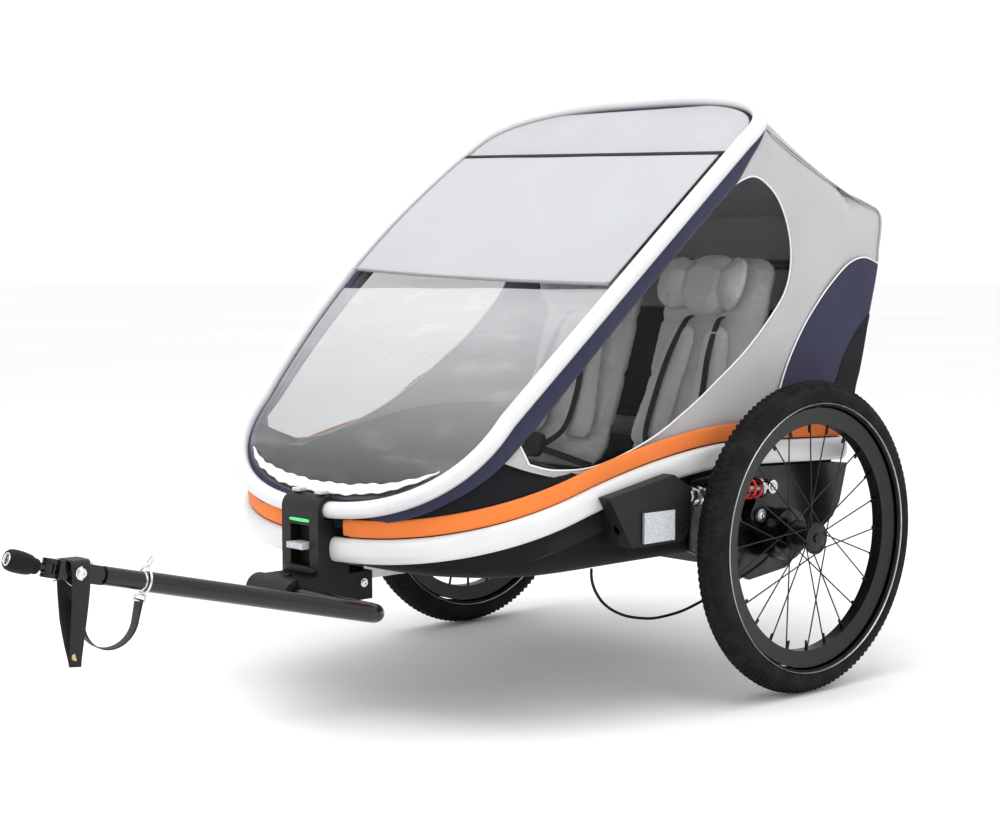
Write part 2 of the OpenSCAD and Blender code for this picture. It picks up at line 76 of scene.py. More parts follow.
upZ = np.array([0.0, 0.0, 1.0])
foldSquash = {"axis": (0, 0, 1), "anchor": (0, 0, 0.322), "keep": 0.261}
crumple = ("hoop_fold", foldSquash)


# Shared shape tools

def toFrame(points):
    return np.asarray(points, float) * 0.001 + [0, axleY, 0]


def unitRows(v):
    return v / np.maximum(np.linalg.norm(v, axis=-1, keepdims=True), 1e-12)


def smoothLine(points, count, closed=False):
    # Catmull-Rom: between p1 and p2 runs the cubic that leaves p1 along p2-p0 and meets p2 along p3-p1
    p = np.asarray(points, float)
    spans = len(p) if closed else len(p) - 1
    t = np.linspace(0, spans, count, endpoint=not closed)
    i = np.minimum(t.astype(int), spans - 1)
    f = (t - i)[:, None]
    if closed:
        p0, p1, p2, p3 = (p[(i + k) % len(p)] for k in (-1, 0, 1, 2))
    else:
        p0, p1, p2, p3 = (p[np.clip(i + k, 0, len(p) - 1)] for k in (-1, 0, 1, 2))
    return 0.5 * (2 * p1 + (p2 - p0) * f + (2 * p0 - 5 * p1 + 4 * p2 - p3) * f ** 2
                  + (3 * p1 - p0 - 3 * p2 + p3) * f ** 3)


def evenLine(line, count, closed=False):
    # the same line with its points an equal distance apart
    p = np.vstack([line, line[:1]]) if closed else np.asarray(line)
    run = np.concatenate([[0], np.cumsum(np.linalg.norm(np.diff(p, axis=0), axis=1))])
    t = np.linspace(0, run[-1], count, endpoint=not closed)
    return np.stack([np.interp(t, run, p[:, k]) for k in range(p.shape[1])], 1)


def wholeLoop(half, count):
    # a half outline and its mirror image as one closed line
    return evenLine(np.vstack([half, (half * [-1, 1])[-2:0:-1]]), count, closed=True)


def tangents(line, closed):
    if closed:
        return unitRows(np.roll(line, -1, 0) - np.roll(line, 1, 0))
    return unitRows(np.gradient(line, axis=0))


def sweep(line, profile, up, closed=False):
    # each profile point (across, above) is carried along the line: across is tangent x up,
    # and above is square to both
    line = np.asarray(line, float)
    t = tangents(line, closed)
    side = unitRows(np.cross(t, np.broadcast_to(up, t.shape)))
    above = np.cross(side, t)
    profile = np.asarray(profile, float)
    if profile.ndim == 2:
        profile = np.broadcast_to(profile, (len(line),) + profile.shape)
    return line[:, None] + profile[..., :1] * side[:, None] + profile[..., 1:] * above[:, None]


def ovalProfile(a, b, sides, power=2.0):
    # |x/a|^power + |y/b|^power = 1
    k = np.arange(sides) * 2 * np.pi / sides
    c, s = np.cos(k), np.sin(k)
    x, y = a * np.sign(c) * np.abs(c) ** (2 / power), b * np.sign(s) * np.abs(s) ** (2 / power)
    return np.stack([x, y], 1)


def gridMesh(name, points, closeU=False, closeV=False, caps=False, away=None):
    # points is rows x columns x 3; the UV map is in metres along the surface
    p = toFrame(points)
    n, m = p.shape[:2]
    rows, cols = np.meshgrid(np.arange(n if closeU else n - 1), np.arange(m if closeV else m - 1),
                             indexing="ij")
    cornerR = np.stack([rows, rows + 1, rows + 1, rows], -1)
    cornerC = np.stack([cols, cols, cols + 1, cols + 1], -1)
    quads = (cornerR % n * m + cornerC % m).reshape(-1, 4)
    stepU = np.linalg.norm(np.roll(p, -1, 0) - p, axis=2).mean(1)
    stepV = np.linalg.norm(np.roll(p, -1, 1) - p, axis=2).mean(0)
    alongU = np.concatenate([[0], np.cumsum(stepU)])
    alongV = np.concatenate([[0], np.cumsum(stepV)])
    uv = np.stack([alongU[cornerR], alongV[cornerC]], -1).reshape(-1, 2)
    faces = quads.tolist()
    if caps:
        faces += [list(range(m - 1, -1, -1)), list(range((n - 1) * m, n * m))]
        uv = np.vstack([uv, np.zeros((2 * m, 2))])
    mesh = bpy.data.meshes.new(name)
    mesh.from_pydata(p.reshape(-1, 3).tolist(), [], faces)
    mesh.uv_layers.new(name="surface").data.foreach_set("uv", uv.astype(np.float32).ravel())
    if away is None:
        closedOutward(mesh)
    else:
        faceOutward(mesh, away)
    return mesh


def closedOutward(mesh, merge=0):
    # recalculates a closed mesh's normals, after its doubles are merged if merge is given
    work = bmesh.new()
    work.from_mesh(mesh)
    if merge:
        bmesh.ops.remove_doubles(work, verts=work.verts, dist=merge)
    bmesh.ops.recalc_face_normals(work, faces=work.faces)
    work.to_mesh(mesh)
    work.free()


def faceOutward(mesh, away):
    # turns an open sheet so that its faces look away from a point in metres
    count = len(mesh.polygons)
    normal, centre = np.zeros(count * 3), np.zeros(count * 3)
    mesh.polygons.foreach_get("normal", normal)
    mesh.polygons.foreach_get("center", centre)
    if (normal.reshape(-1, 3) * (centre.reshape(-1, 3) - np.asarray(away))).sum() < 0:
        mesh.flip_normals()


def piece(name, mesh, material, body, stands=(), thick=0, thickOffset=-1, bevel=0, sub=0,
          sharp=40, squash=None):
    # every new piece: smooth faces, material and finishing modifiers, then what it rides on and stands for
    obj = bpy.data.objects.new(name, mesh)
    bpy.context.scene.collection.objects.link(obj)
    mesh.polygons.foreach_set("use_smooth", np.ones(len(mesh.polygons), bool))
    if sharp:
        mesh.set_sharp_from_angle(angle=math.radians(sharp))
    mesh.materials.clear()
    mesh.materials.append(material)
    if thick:
        solid = obj.modifiers.new("thickness", "SOLIDIFY")
        solid.thickness = thick
        solid.offset = thickOffset
    if bevel:
        soft = obj.modifiers.new("softEdge", "BEVEL")
        soft.width = bevel
        soft.segments = 3
        soft.limit_method = "ANGLE"
        soft.angle_limit = math.radians(32)
    if sub:
        fine = obj.modifiers.new("fine", "SUBSURF")
        fine.levels = sub
        fine.render_levels = sub
    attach(obj, body)
    if squash:
        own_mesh(obj)
    if stands:
        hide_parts(*stands)
    return obj


def sheetOf(obj, points, cut=None):
    # the flat size is the surface's own widest width and longest length, unless cut gives it
    p = toFrame(points)
    along = np.linalg.norm(np.diff(p, axis=0), axis=2).sum(0).max()
    across = np.linalg.norm(np.diff(p, axis=1), axis=2).sum(1).max()
    a, b, c, d = p[:-1, :-1], p[1:, :-1], p[1:, 1:], p[:-1, 1:]
    area = 0.5 * np.linalg.norm(np.cross(c - a, d - b), axis=2).sum()
    across, along = cut or (across, along)
    if area < 0.31 * across * along:
        # a long tapering piece: its strip is twice the piece's mean width
        along = max(across, along)
        across = 2 * area / along
    print(f"sheet {obj.name}: {across:.3f} x {along:.3f} m, {area:.4f} m2")


def mirrored(mesh, name):
    copy = mesh.copy()
    copy.name = name
    co = np.zeros(len(copy.vertices) * 3)
    copy.vertices.foreach_get("co", co)
    co = co.reshape(-1, 3) * [-1, 1, 1]
    copy.vertices.foreach_set("co", co.ravel())
    copy.flip_normals()
    copy.update()
    return copy


def bevelledCopy(node, name, material, width, body):
    # the CAD node's own mesh, merged, with its edges rounded
    mesh = nodes[node].data.copy()
    mesh.name = name
    work = bmesh.new()
    work.from_mesh(mesh)
    bmesh.ops.remove_doubles(work, verts=work.verts, dist=2e-5)
    bmesh.ops.dissolve_limit(work, angle_limit=math.radians(1), verts=work.verts, edges=work.edges)
    bmesh.ops.recalc_face_normals(work, faces=work.faces)
    work.to_mesh(mesh)
    work.free()
    return piece(name, mesh, material, body, stands=[node], bevel=width, sharp=35)


# Materials

def startMaterial(name, color, rough, metal=0.0):
    mat = bpy.data.materials.new(name)
    mat.use_nodes = True
    shader = mat.node_tree.nodes["Principled BSDF"]
    shader.inputs["Base Color"].default_value = (*color, 1)
    shader.inputs["Roughness"].default_value = rough
    shader.inputs["Metallic"].default_value = metal
    return mat, mat.node_tree, shader


def addNode(tree, kind, **values):
    node = tree.nodes.new(kind)
    for key, value in values.items():
        if hasattr(node, key):
            setattr(node, key, value)
        else:
            node.inputs[key.replace("_", " ")].default_value = value
    return node


def coordsOf(tree, kind):
    return addNode(tree, "ShaderNodeTexCoord").outputs[kind]


def noiseOf(tree, where, scale, detail=3.0, rough=0.55):
    node = addNode(tree, "ShaderNodeTexNoise", Scale=scale, Detail=detail, Roughness=rough)
    tree.links.new(where, node.inputs["Vector"])
    return node.outputs["Fac"]


def rampOf(tree, value, low, high, lowAt=0.3, highAt=0.7):
    node = addNode(tree, "ShaderNodeValToRGB")
    node.color_ramp.elements[0].position = lowAt
    node.color_ramp.elements[1].position = highAt
    node.color_ramp.elements[0].color = (*low, 1)
    node.color_ramp.elements[1].color = (*high, 1)
    tree.links.new(value, node.inputs["Fac"])
    return node.outputs["Color"]


def rangeOf(tree, value, low, high):
    node = addNode(tree, "ShaderNodeMapRange")
    node.inputs["To Min"].default_value = low
    node.inputs["To Max"].default_value = high
    tree.links.new(value, node.inputs["Value"])
    return node.outputs["Result"]


def mathOf(tree, operation, a, b):
    node = addNode(tree, "ShaderNodeMath", operation=operation)
    for socket, value in zip(node.inputs, (a, b)):
        if isinstance(value, (int, float)):
            socket.default_value = value
        else:
            tree.links.new(value, socket)
    return node.outputs[0]


def wavesOf(tree, where, direction, pitch):
    # sine bands a pitch in metres apart: the texture's own period is 2 pi / 20 over its scale
    node = addNode(tree, "ShaderNodeTexWave", wave_type="BANDS", bands_direction=direction,
                   wave_profile="SIN", Scale=math.pi / 10 / pitch)
    tree.links.new(where, node.inputs["Vector"])
    return node.outputs["Fac"]


def bumpOf(tree, shader, height, strength, distance):
    node = addNode(tree, "ShaderNodeBump", Strength=strength, Distance=distance)
    tree.links.new(height, node.inputs["Height"])
    tree.links.new(node.outputs["Normal"], shader.inputs["Normal"])


def shaded(color, factor):
    return tuple(min(1.0, c * factor) for c in color)


def paintedMetal(name, color, rough=0.3, coat=0.4):
    mat, tree, shader = startMaterial(name, color, rough)
    where = coordsOf(tree, "Object")
    broad = noiseOf(tree, where, 7)
    tree.links.new(rampOf(tree, broad, shaded(color, 0.93), color), shader.inputs["Base Color"])
    tree.links.new(rangeOf(tree, noiseOf(tree, where, 60), rough - 0.05, rough + 0.1),
                   shader.inputs["Roughness"])
    shader.inputs["Coat Weight"].default_value = coat
    shader.inputs["Coat Roughness"].default_value = 0.15
    bumpOf(tree, shader, noiseOf(tree, where, 900, 2), 0.12, 0.0004)
    return mat


def mouldedPlastic(name, color, rough=0.5, grain=1500, depth=0.0006):
    mat, tree, shader = startMaterial(name, color, rough)
    shader.inputs["Specular IOR Level"].default_value = 0.4
    where = coordsOf(tree, "Object")
    tree.links.new(rampOf(tree, noiseOf(tree, where, 18), shaded(color, 0.8), shaded(color, 1.25)),
                   shader.inputs["Base Color"])
    tree.links.new(rangeOf(tree, noiseOf(tree, where, 200), rough - 0.08, rough + 0.12),
                   shader.inputs["Roughness"])
    bumpOf(tree, shader, noiseOf(tree, where, grain, 4), 0.35, depth)
    return mat


def bareMetal(name, color, rough=0.25):
    mat, tree, shader = startMaterial(name, color, rough, 1.0)
    where = coordsOf(tree, "Object")
    tree.links.new(rangeOf(tree, noiseOf(tree, where, 90), rough - 0.07, rough + 0.12),
                   shader.inputs["Roughness"])
    tree.links.new(rampOf(tree, noiseOf(tree, where, 25), shaded(color, 0.85), color),
                   shader.inputs["Base Color"])
    bumpOf(tree, shader, noiseOf(tree, where, 700, 2), 0.1, 0.0003)
    return mat


def wovenCloth(name, color, pitch=0.0016, depth=0.0007, rough=0.85, sheen=0.25, blotch=0.06, where="UV",
               glow=0.0):
    mat, tree, shader = startMaterial(name, color, rough)
    shader.inputs["Specular IOR Level"].default_value = 0.15
    place = coordsOf(tree, where)
    solid = coordsOf(tree, "Object")
    weave = mathOf(tree, "MULTIPLY", wavesOf(tree, place, "X", pitch), wavesOf(tree, place, "Y", pitch))
    fuzz = noiseOf(tree, solid, 420, 4)
    broad = noiseOf(tree, solid, 6, 4)
    tone = mathOf(tree, "ADD", mathOf(tree, "MULTIPLY", broad, 0.6), mathOf(tree, "MULTIPLY", fuzz, 0.4))
    tree.links.new(rampOf(tree, tone, shaded(color, 1 - blotch * 1.6), shaded(color, 1 + blotch)),
                   shader.inputs["Base Color"])
    height = mathOf(tree, "ADD", mathOf(tree, "MULTIPLY", weave, 0.7), mathOf(tree, "MULTIPLY", fuzz, 0.5))
    bumpOf(tree, shader, height, 0.5, depth)
    shader.inputs["Sheen Weight"].default_value = sheen
    shader.inputs["Sheen Roughness"].default_value = 0.4
    shader.inputs["Transmission Weight"].default_value = glow
    return mat


def seeThrough(name, color, lowAlpha, highAlpha, rough, pitch=0.0022, gloss=0.0, cloudy=3.0):
    # an open mesh or a clear film: the alpha follows the threads and broad clouds
    mat, tree, shader = startMaterial(name, color, rough)
    place = coordsOf(tree, "UV")
    threads = mathOf(tree, "MAXIMUM", wavesOf(tree, place, "X", pitch), wavesOf(tree, place, "Y", pitch))
    clouds = noiseOf(tree, coordsOf(tree, "Object"), cloudy, 2)
    mixed = mathOf(tree, "ADD", mathOf(tree, "MULTIPLY", threads, 0.45),
                   mathOf(tree, "MULTIPLY", clouds, 0.55))
    tree.links.new(rangeOf(tree, mixed, lowAlpha, highAlpha), shader.inputs["Alpha"])
    bumpOf(tree, shader, threads, 0.2, 0.0004)
    shader.inputs["Coat Weight"].default_value = gloss
    shader.inputs["Coat Roughness"].default_value = 0.06
    return mat


# The film's light grey grows more opaque higher up as the alpha climbs. That grey is painted reflection
# haze, and the coat adds real gloss on top. Noise streaks raise the opacity further in painted highlight
# bands.
def clearFilm(name, color, alpha, rough):
    mat, tree, shader = startMaterial(name, color, rough)
    place = coordsOf(tree, "Object")
    parts = addNode(tree, "ShaderNodeSeparateXYZ")
    tree.links.new(place, parts.inputs["Vector"])
    climb = addNode(tree, "ShaderNodeMapRange")
    for key, value in (("From Min", 0.36), ("From Max", 0.60), ("To Min", alpha * 0.25),
                       ("To Max", alpha * 1.5)):
        climb.inputs[key].default_value = value
    tree.links.new(parts.outputs["Z"], climb.inputs["Value"])
    across = addNode(tree, "ShaderNodeMapping")
    across.inputs["Scale"].default_value = (2.0, 3.0, 9.0)
    tree.links.new(place, across.inputs["Vector"])
    streaks = noiseOf(tree, across.outputs["Vector"], 3.2, 3)
    paintedHighlight = addNode(tree, "ShaderNodeMapRange")
    for key, value in (("From Min", 0.55), ("From Max", 0.75), ("To Min", 0.0), ("To Max", 0.10)):
        paintedHighlight.inputs[key].default_value = value
    tree.links.new(streaks, paintedHighlight.inputs["Value"])
    paintedReflectionHaze = mathOf(tree, "ADD", mathOf(tree, "MULTIPLY", climb.outputs["Result"],
                                      rangeOf(tree, streaks, 0.85, 1.15)),
                  mathOf(tree, "MULTIPLY", paintedHighlight.outputs["Result"], 0.8))
    tree.links.new(paintedReflectionHaze, shader.inputs["Alpha"])
    bumpOf(tree, shader, streaks, 0.2, 0.02)
    shader.inputs["Coat Weight"].default_value = 1.0
    shader.inputs["Coat Roughness"].default_value = 0.05
    return mat


def dustyRubber(name, color, rough=0.75):
    mat, tree, shader = startMaterial(name, color, rough)
    shader.inputs["Specular IOR Level"].default_value = 0.2
    where = coordsOf(tree, "Object")
    dust = noiseOf(tree, where, 30, 5, 0.65)
    tree.links.new(rampOf(tree, dust, shaded(color, 0.75), shaded(color, 2.1), 0.4, 0.85),
                   shader.inputs["Base Color"])
    bumpOf(tree, shader, noiseOf(tree, where, 800, 4), 0.3, 0.0005)
    return mat


def ribbedWebbing(name, color):
    mat, tree, shader = startMaterial(name, color, 0.7)
    place = coordsOf(tree, "UV")
    ribs = wavesOf(tree, place, "X", 0.0022)
    edge = wavesOf(tree, place, "Y", 0.0045)
    height = mathOf(tree, "ADD", ribs, mathOf(tree, "MULTIPLY", edge, 0.5))
    tree.links.new(rampOf(tree, height, shaded(color, 0.7), shaded(color, 1.5), 0.2, 0.9),
                   shader.inputs["Base Color"])
    bumpOf(tree, shader, height, 0.5, 0.0008)
    shader.inputs["Sheen Weight"].default_value = 0.15
    return mat


def prismPlastic(name):
    mat, tree, shader = startMaterial(name, (0.8, 0.82, 0.84), 0.08, 0.35)
    where = coordsOf(tree, "Object")
    cells = addNode(tree, "ShaderNodeTexVoronoi", Scale=420.0)
    tree.links.new(where, cells.inputs["Vector"])
    tree.links.new(rampOf(tree, cells.outputs["Distance"], (0.62, 0.64, 0.67), (0.42, 0.44, 0.47), 0.1, 0.6),
                   shader.inputs["Base Color"])
    bumpOf(tree, shader, cells.outputs["Distance"], 0.35, 0.001)
    shader.inputs["Coat Weight"].default_value = 1.0
    return mat


whitePaint = paintedMetal("whitePaint", (0.68, 0.685, 0.69), 0.28)
blackPaint = paintedMetal("blackPaint", (0.006, 0.006, 0.007), 0.22, 0.25)
blackNylon = mouldedPlastic("blackNylon", (0.010, 0.010, 0.011), 0.42)
grainedNylon = mouldedPlastic("grainedNylon", (0.010, 0.010, 0.011), 0.45, 380, 0.003)
greyPlastic = mouldedPlastic("greyPlastic", (0.52, 0.55, 0.58), 0.35, 900)
greenPlastic = mouldedPlastic("greenPlastic", (0.12, 0.75, 0.25), 0.3, 700)
blackSteel = bareMetal("blackSteel", (0.06, 0.06, 0.065), 0.35)
brightSteel = bareMetal("brightSteel", (0.75, 0.75, 0.77), 0.18)
brushedAlloy = bareMetal("brushedAlloy", (0.62, 0.63, 0.65), 0.35)
brassMetal = bareMetal("brassMetal", (0.62, 0.45, 0.22), 0.25)
redPaint = paintedMetal("redPaint", (0.62, 0.015, 0.03), 0.25, 0.7)
blackAlloy = paintedMetal("blackAlloy", (0.006, 0.006, 0.007), 0.4, 0.05)
greyCloth = wovenCloth("greyCloth", (0.58, 0.57, 0.575), glow=0.2)
roofCloth = wovenCloth("roofCloth", (0.53, 0.52, 0.545), glow=0.2)
shadeCloth = wovenCloth("shadeCloth", (0.50, 0.51, 0.53), 0.0014, 0.0004, 0.6, 0.15, 0.03, glow=0.15)
navyCloth = wovenCloth("navyCloth", (0.055, 0.055, 0.095), 0.0018, 0.0008, 0.85, 0.2, 0.12)
orangeCloth = wovenCloth("orangeCloth", (0.80, 0.235, 0.065), 0.0018, 0.0007, 0.8, 0.2, 0.05)
blackCloth = wovenCloth("blackCloth", (0.022, 0.022, 0.026), 0.0024, 0.001, 0.85, 0.15, 0.2)
seatCloth = wovenCloth("seatCloth", (0.90, 0.89, 0.90), 0.0022, 0.0009, 0.9, 0.3, 0.06, "Object")
whiteTrim = wovenCloth("whiteTrim", (0.80, 0.79, 0.80), 0.0014, 0.0004, 0.6, 0.1, 0.04)
windowMesh = seeThrough("windowMesh", (0.05, 0.052, 0.056), 0.04, 0.24, 0.35, 0.0022, 0.6)
coverMesh = seeThrough("coverMesh", (0.06, 0.062, 0.066), 0.25, 0.5, 0.5, 0.002, 0.1)
vinylFilm = clearFilm("vinylFilm", (0.66, 0.67, 0.69), 0.34, 0.22)
tyreRubber = dustyRubber("tyreRubber", (0.014, 0.0135, 0.0135))
bootRubber = dustyRubber("bootRubber", (0.012, 0.012, 0.013), 0.55)
stripeFilm = bareMetal("stripeFilm", (0.72, 0.74, 0.76), 0.4)
blackWebbing = ribbedWebbing("blackWebbing", (0.012, 0.012, 0.014))
prism = prismPlastic("prism")
print("materials made")


# Hoop and lower frame lines

hoop = {"footY": -681, "footZ": 322, "slope": math.radians(41.5), "length": 975, "rise": 37,
        "footLength": 190, "footHalf": 305, "bowHalf": 347, "topLength": 152, "tubeRadius": 13}
frameTube = {"half": 350, "wide": 22, "high": 38}


def bowedHalf(u):
    return hoop["bowHalf"] - 42 * ((u - 620) / 430) ** 2


def hoopOff(u):
    # the hoop rises above a straight line as a shallow parabola
    return 4 * hoop["rise"] * (u / hoop["length"]) * (1 - u / hoop["length"])


def onHoop(x, u, n):
    x, u, n = np.broadcast_arrays(np.asarray(x, float), u, n)
    c, s = math.cos(hoop["slope"]), math.sin(hoop["slope"])
    return np.stack([x, hoop["footY"] + u * c - n * s, hoop["footZ"] + u * s + n * c], -1)


def hoopHalfOutline(inset=0.0):
    # superellipse corners at the foot (power 2.3) and top (power 2.7), joined by sides that bow out
    a = np.linspace(0, math.pi / 2, 60, endpoint=False)
    footHalf, footLength = hoop["footHalf"], hoop["footLength"]
    foot = np.stack([footHalf * np.sin(a) ** (2 / 2.3), footLength * (1 - np.cos(a) ** (2 / 2.3))], 1)
    topFrom = hoop["length"] - hoop["topLength"]
    u = np.linspace(footLength, topFrom, 60)
    sides = np.stack([bowedHalf(u), u], 1)
    b = np.linspace(0, math.pi / 2, 61)[1:]
    top = np.stack([bowedHalf(topFrom) * np.cos(b) ** (2 / 2.7),
                    topFrom + hoop["topLength"] * np.sin(b) ** (2 / 2.7)], 1)
    line = evenLine(np.vstack([foot, sides, top]), 300)
    t = unitRows(np.gradient(line, axis=0))
    line = line + inset * np.stack([-t[:, 1], t[:, 0]], 1)
    line[[0, -1], 0] = 0
    return line


def hoopLoop(inset, lift, count=420):
    even = wholeLoop(hoopHalfOutline(inset), count)
    return onHoop(even[:, 0], even[:, 1], hoopOff(even[:, 1]) + lift)


def insetWidth(u, inset):
    half = hoopHalfOutline(inset)
    rising = np.maximum.accumulate(half[:, 1])
    return np.interp(u, rising, half[:, 0])


def frameZ(y):
    y = np.asarray(y, float)
    return np.where(y < -110, 391 - 129 * (np.maximum(-110 - y, 0) / 562) ** 1.7, 391 - 0.037 * (y + 110))


def frameHalfPlan(half):
    # superellipse nose (power 2.3) and tail (power 2.6) joined by straight sides
    a = np.linspace(0, math.pi / 2, 60, endpoint=False)
    nose = np.stack([half * np.sin(a) ** (2 / 2.3), -450 - 222 * np.cos(a) ** (2 / 2.3)], 1)
    side = np.stack([np.full(40, half), np.linspace(-450, 150, 40)], 1)
    b = np.linspace(0, math.pi / 2, 61)[1:]
    tail = np.stack([half * np.cos(b) ** (2 / 2.6), 150 + 75 * np.sin(b) ** (2 / 2.6)], 1)
    return evenLine(np.vstack([nose, side, tail]), 320)


def frameLoop(half, rise, count=420):
    both = wholeLoop(frameHalfPlan(half), count)
    return np.stack([both[:, 0], both[:, 1], frameZ(both[:, 1]) + rise], 1)


hoopUp = onHoop(0, 0, 1.0) - onHoop(0, 0, 0.0)
slopeUp = onHoop(0, 1.0, 0) - onHoop(0, 0, 0.0)
cabinMiddle = toFrame([0, -120, 520])

radius = hoop["tubeRadius"]
tube = gridMesh("hoopTube", sweep(hoopLoop(0, 0, 480), ovalProfile(radius, radius, 24), hoopUp, True), True,
                True)
piece("hoopTube", tube, whitePaint, "hoop", ["hoop_tube"])
oval = ovalProfile(frameTube["wide"] / 2, frameTube["high"] / 2, 28, 2.3)
tube = gridMesh("frameTube", sweep(frameLoop(frameTube["half"], 0, 480), oval, upZ, True), True, True)
piece("frameTube", tube, whitePaint, "chassis", ["lower_frame"])
print("hoop and frame tubes made")

# Orange band: a flat padded strip on top of the frame tube, gathered a little along its length
band = {"rise": 34, "thick": 3.2, "high": 13.5}
plan = frameHalfPlan(frameTube["half"] - 3)
plan = plan[(plan[:, 0] > 66) & (plan[:, 1] < 174)]
bandLine = evenLine(np.column_stack([plan, frameZ(plan[:, 1]) + band["rise"]]), 260)
travel = np.arange(260) / 260
taper = np.clip(travel / 0.01, 0.9, 1)
ripple = 1 + 0.10 * np.sin(travel * 190) * np.sin(travel * 31) + 0.06 * np.sin(travel * 420)
bandSize = np.stack([band["thick"] * ripple, band["high"] * taper], 1)
profiles = ovalProfile(1, 1, 20, 3)[None] * bandSize[:, None]
leftBand = gridMesh("orangeBandLeft", sweep(bandLine, profiles, upZ), closeV=True, caps=True)
piece("orangeBandLeft", leftBand, orangeCloth, "chassis", ["trim_band"])
piece("orangeBandRight", mirrored(leftBand, "orangeBandRight"), orangeCloth, "chassis")


# Fabric body

body = {"side": 338, "rearCrown": 34, "windowGap": 33, "stripDeep": 30}
rearEdge = [[205, 412], [213, 480], [224, 510], [241, 578], [261, 646], [278, 714], [287, 755], [283, 776]]
roofEdge = [[283, 776], [257, 790], [147, 829], [56, 868], [-3, 898]]


def hoopSide(u, below):
    # a point in side view, below the hoop's middle line
    q = onHoop(0, u, hoopOff(u) - below)
    return q[..., 1:]


def hoopCoords(y, z):
    c, s = math.cos(hoop["slope"]), math.sin(hoop["slope"])
    dy, dz = y - hoop["footY"], z - hoop["footZ"]
    u = dy * c + dz * s
    return u, hoopOff(u) - (-dy * s + dz * c)


def sideX(y, z):
    # the side wall hangs from the hoop, so it starts at the hoop's own width and eases out to the body's
    u, below = hoopCoords(y, z)
    half = hoopHalfOutline()
    rising = np.maximum.accumulate(half[:, 1])
    hoopX = np.interp(u, rising, half[:, 0])
    low = np.clip((470 - z) / 160, 0, 1)
    return body["side"] + 5 * low + (hoopX - body["side"]) * np.exp(-np.maximum(below - 14, 0) / 75)


def polarRadius(outline, centre, angles):
    # distance from the centre to a closed outline in each direction
    d = outline - centre
    a = np.unwrap(np.arctan2(d[:, 1], d[:, 0]))
    r = np.linalg.norm(d, axis=1)
    if a[-1] < a[0]:
        a, r = a[::-1], r[::-1]
    a = np.maximum.accumulate(a)
    a = a - 2 * np.pi * math.floor(a[0] / (2 * np.pi))
    threeTurns = np.concatenate([a - 2 * np.pi, a, a + 2 * np.pi])
    return np.interp(angles, threeTurns, np.tile(r, 3))


windowCentre = np.array([-115.0, 640.0])
strip = hoopSide(np.linspace(180, 742, 120), body["windowGap"])
windowEdge = [[-112, 812], [-60, 829], [-22, 818], [12, 788], [35, 740], [40, 690], [26, 645], [-13, 601],
              [-70, 552], [-133, 510], [-200, 469], [-290, 425], [-400, 393], [-480, 391], [-527, 402]]
windowRest = smoothLine(windowEdge, 300)
windowLine = np.vstack([strip, windowRest])
panelTop = hoopSide(np.linspace(886, 132, 200), 8)[::-1]
bottomY = np.linspace(-452, 196, 120)
bottomLine = np.stack([bottomY, frameZ(bottomY) + 40], 1)
panelLine = np.vstack([panelTop, smoothLine(roofEdge, 60)[::-1], smoothLine(rearEdge, 60)[::-1],
                       bottomLine[::-1]])
angles = np.linspace(0, 2 * np.pi, 720, endpoint=False)
windowR = polarRadius(windowLine, windowCentre, angles)
panelR = np.maximum(polarRadius(panelLine, windowCentre, angles), windowR + 4)
outward = np.stack([np.cos(angles), np.sin(angles)], 1)


def sidePoints(yz, lift=0.0):
    x = sideX(yz[..., 0], yz[..., 1]) + lift
    return np.concatenate([x[..., None], yz], -1)


ring = np.linspace(0, 1, 22)[:, None, None]
yz = windowCentre + outward[None] * (windowR[None, :, None] * (1 - ring) + panelR[None, :, None] * ring)
pull = 1.6 * np.sin(yz[..., 0] / 47 + yz[..., 1] / 90) * np.sin(np.pi * ring[..., 0])
panelPoints = sidePoints(yz, pull)
panelMesh = gridMesh("sidePanelLeft", panelPoints, closeV=True, away=cabinMiddle)
leftPanel = piece("sidePanelLeft", panelMesh, greyCloth, "chassis", ["side_panel_l"],
                  thick=0.0014, squash=crumple)
rightPanel = piece("sidePanelRight", mirrored(panelMesh, "sidePanelRight"), greyCloth, "chassis",
                   ["side_panel_r"], thick=0.0014, squash=crumple)
closedPanel = np.concatenate([panelPoints, panelPoints[:, :1]], 1)
for obj in (leftPanel, rightPanel):
    sheetOf(obj, closedPanel, cut=(0.50, 0.80))

# Side window: a film over mesh, pleated where it gathers at the top
ring = np.linspace(0.004, 1.03, 40)[:, None, None]
yz = windowCentre + outward[None] * windowR[None, :, None] * ring
fan = np.arctan2(yz[..., 0] + 75, 850 - yz[..., 1])
fade = np.exp(-(np.hypot(yz[..., 0] + 75, yz[..., 1] - 850) / 110) ** 2)
slack = 2.5 * np.sin(yz[..., 0] / 60 + yz[..., 1] / 38) * np.sin(np.pi * np.clip(ring[..., 0], 0, 1))
pleats = 3.0 * np.sin(fan * 26) * fade
edgeIn = -3.2 * np.ones_like(pleats)
windowPoints = sidePoints(yz, edgeIn + (slack + pleats) * 0.8)
windowMeshData = gridMesh("sideWindowLeft", windowPoints, closeV=True, away=cabinMiddle)
leftWindow = piece("sideWindowLeft", windowMeshData, windowMesh, "chassis", ["side_windows"],
                   squash=crumple)
rightWindow = piece("sideWindowRight", mirrored(windowMeshData, "sideWindowRight"), windowMesh, "chassis",
                    squash=crumple)

edge = windowCentre + outward * windowR[:, None]
edgeLine = evenLine(sidePoints(edge, 0.6), 520, closed=True)
piping = gridMesh("windowPipingLeft", sweep(edgeLine, ovalProfile(1.5, 1.5, 10), [1.0, 0, 0], True), True,
                  True)
piece("windowPipingLeft", piping, whiteTrim, "chassis", squash=crumple)
piece("windowPipingRight", mirrored(piping, "windowPipingRight"), whiteTrim, "chassis",
      squash=crumple)


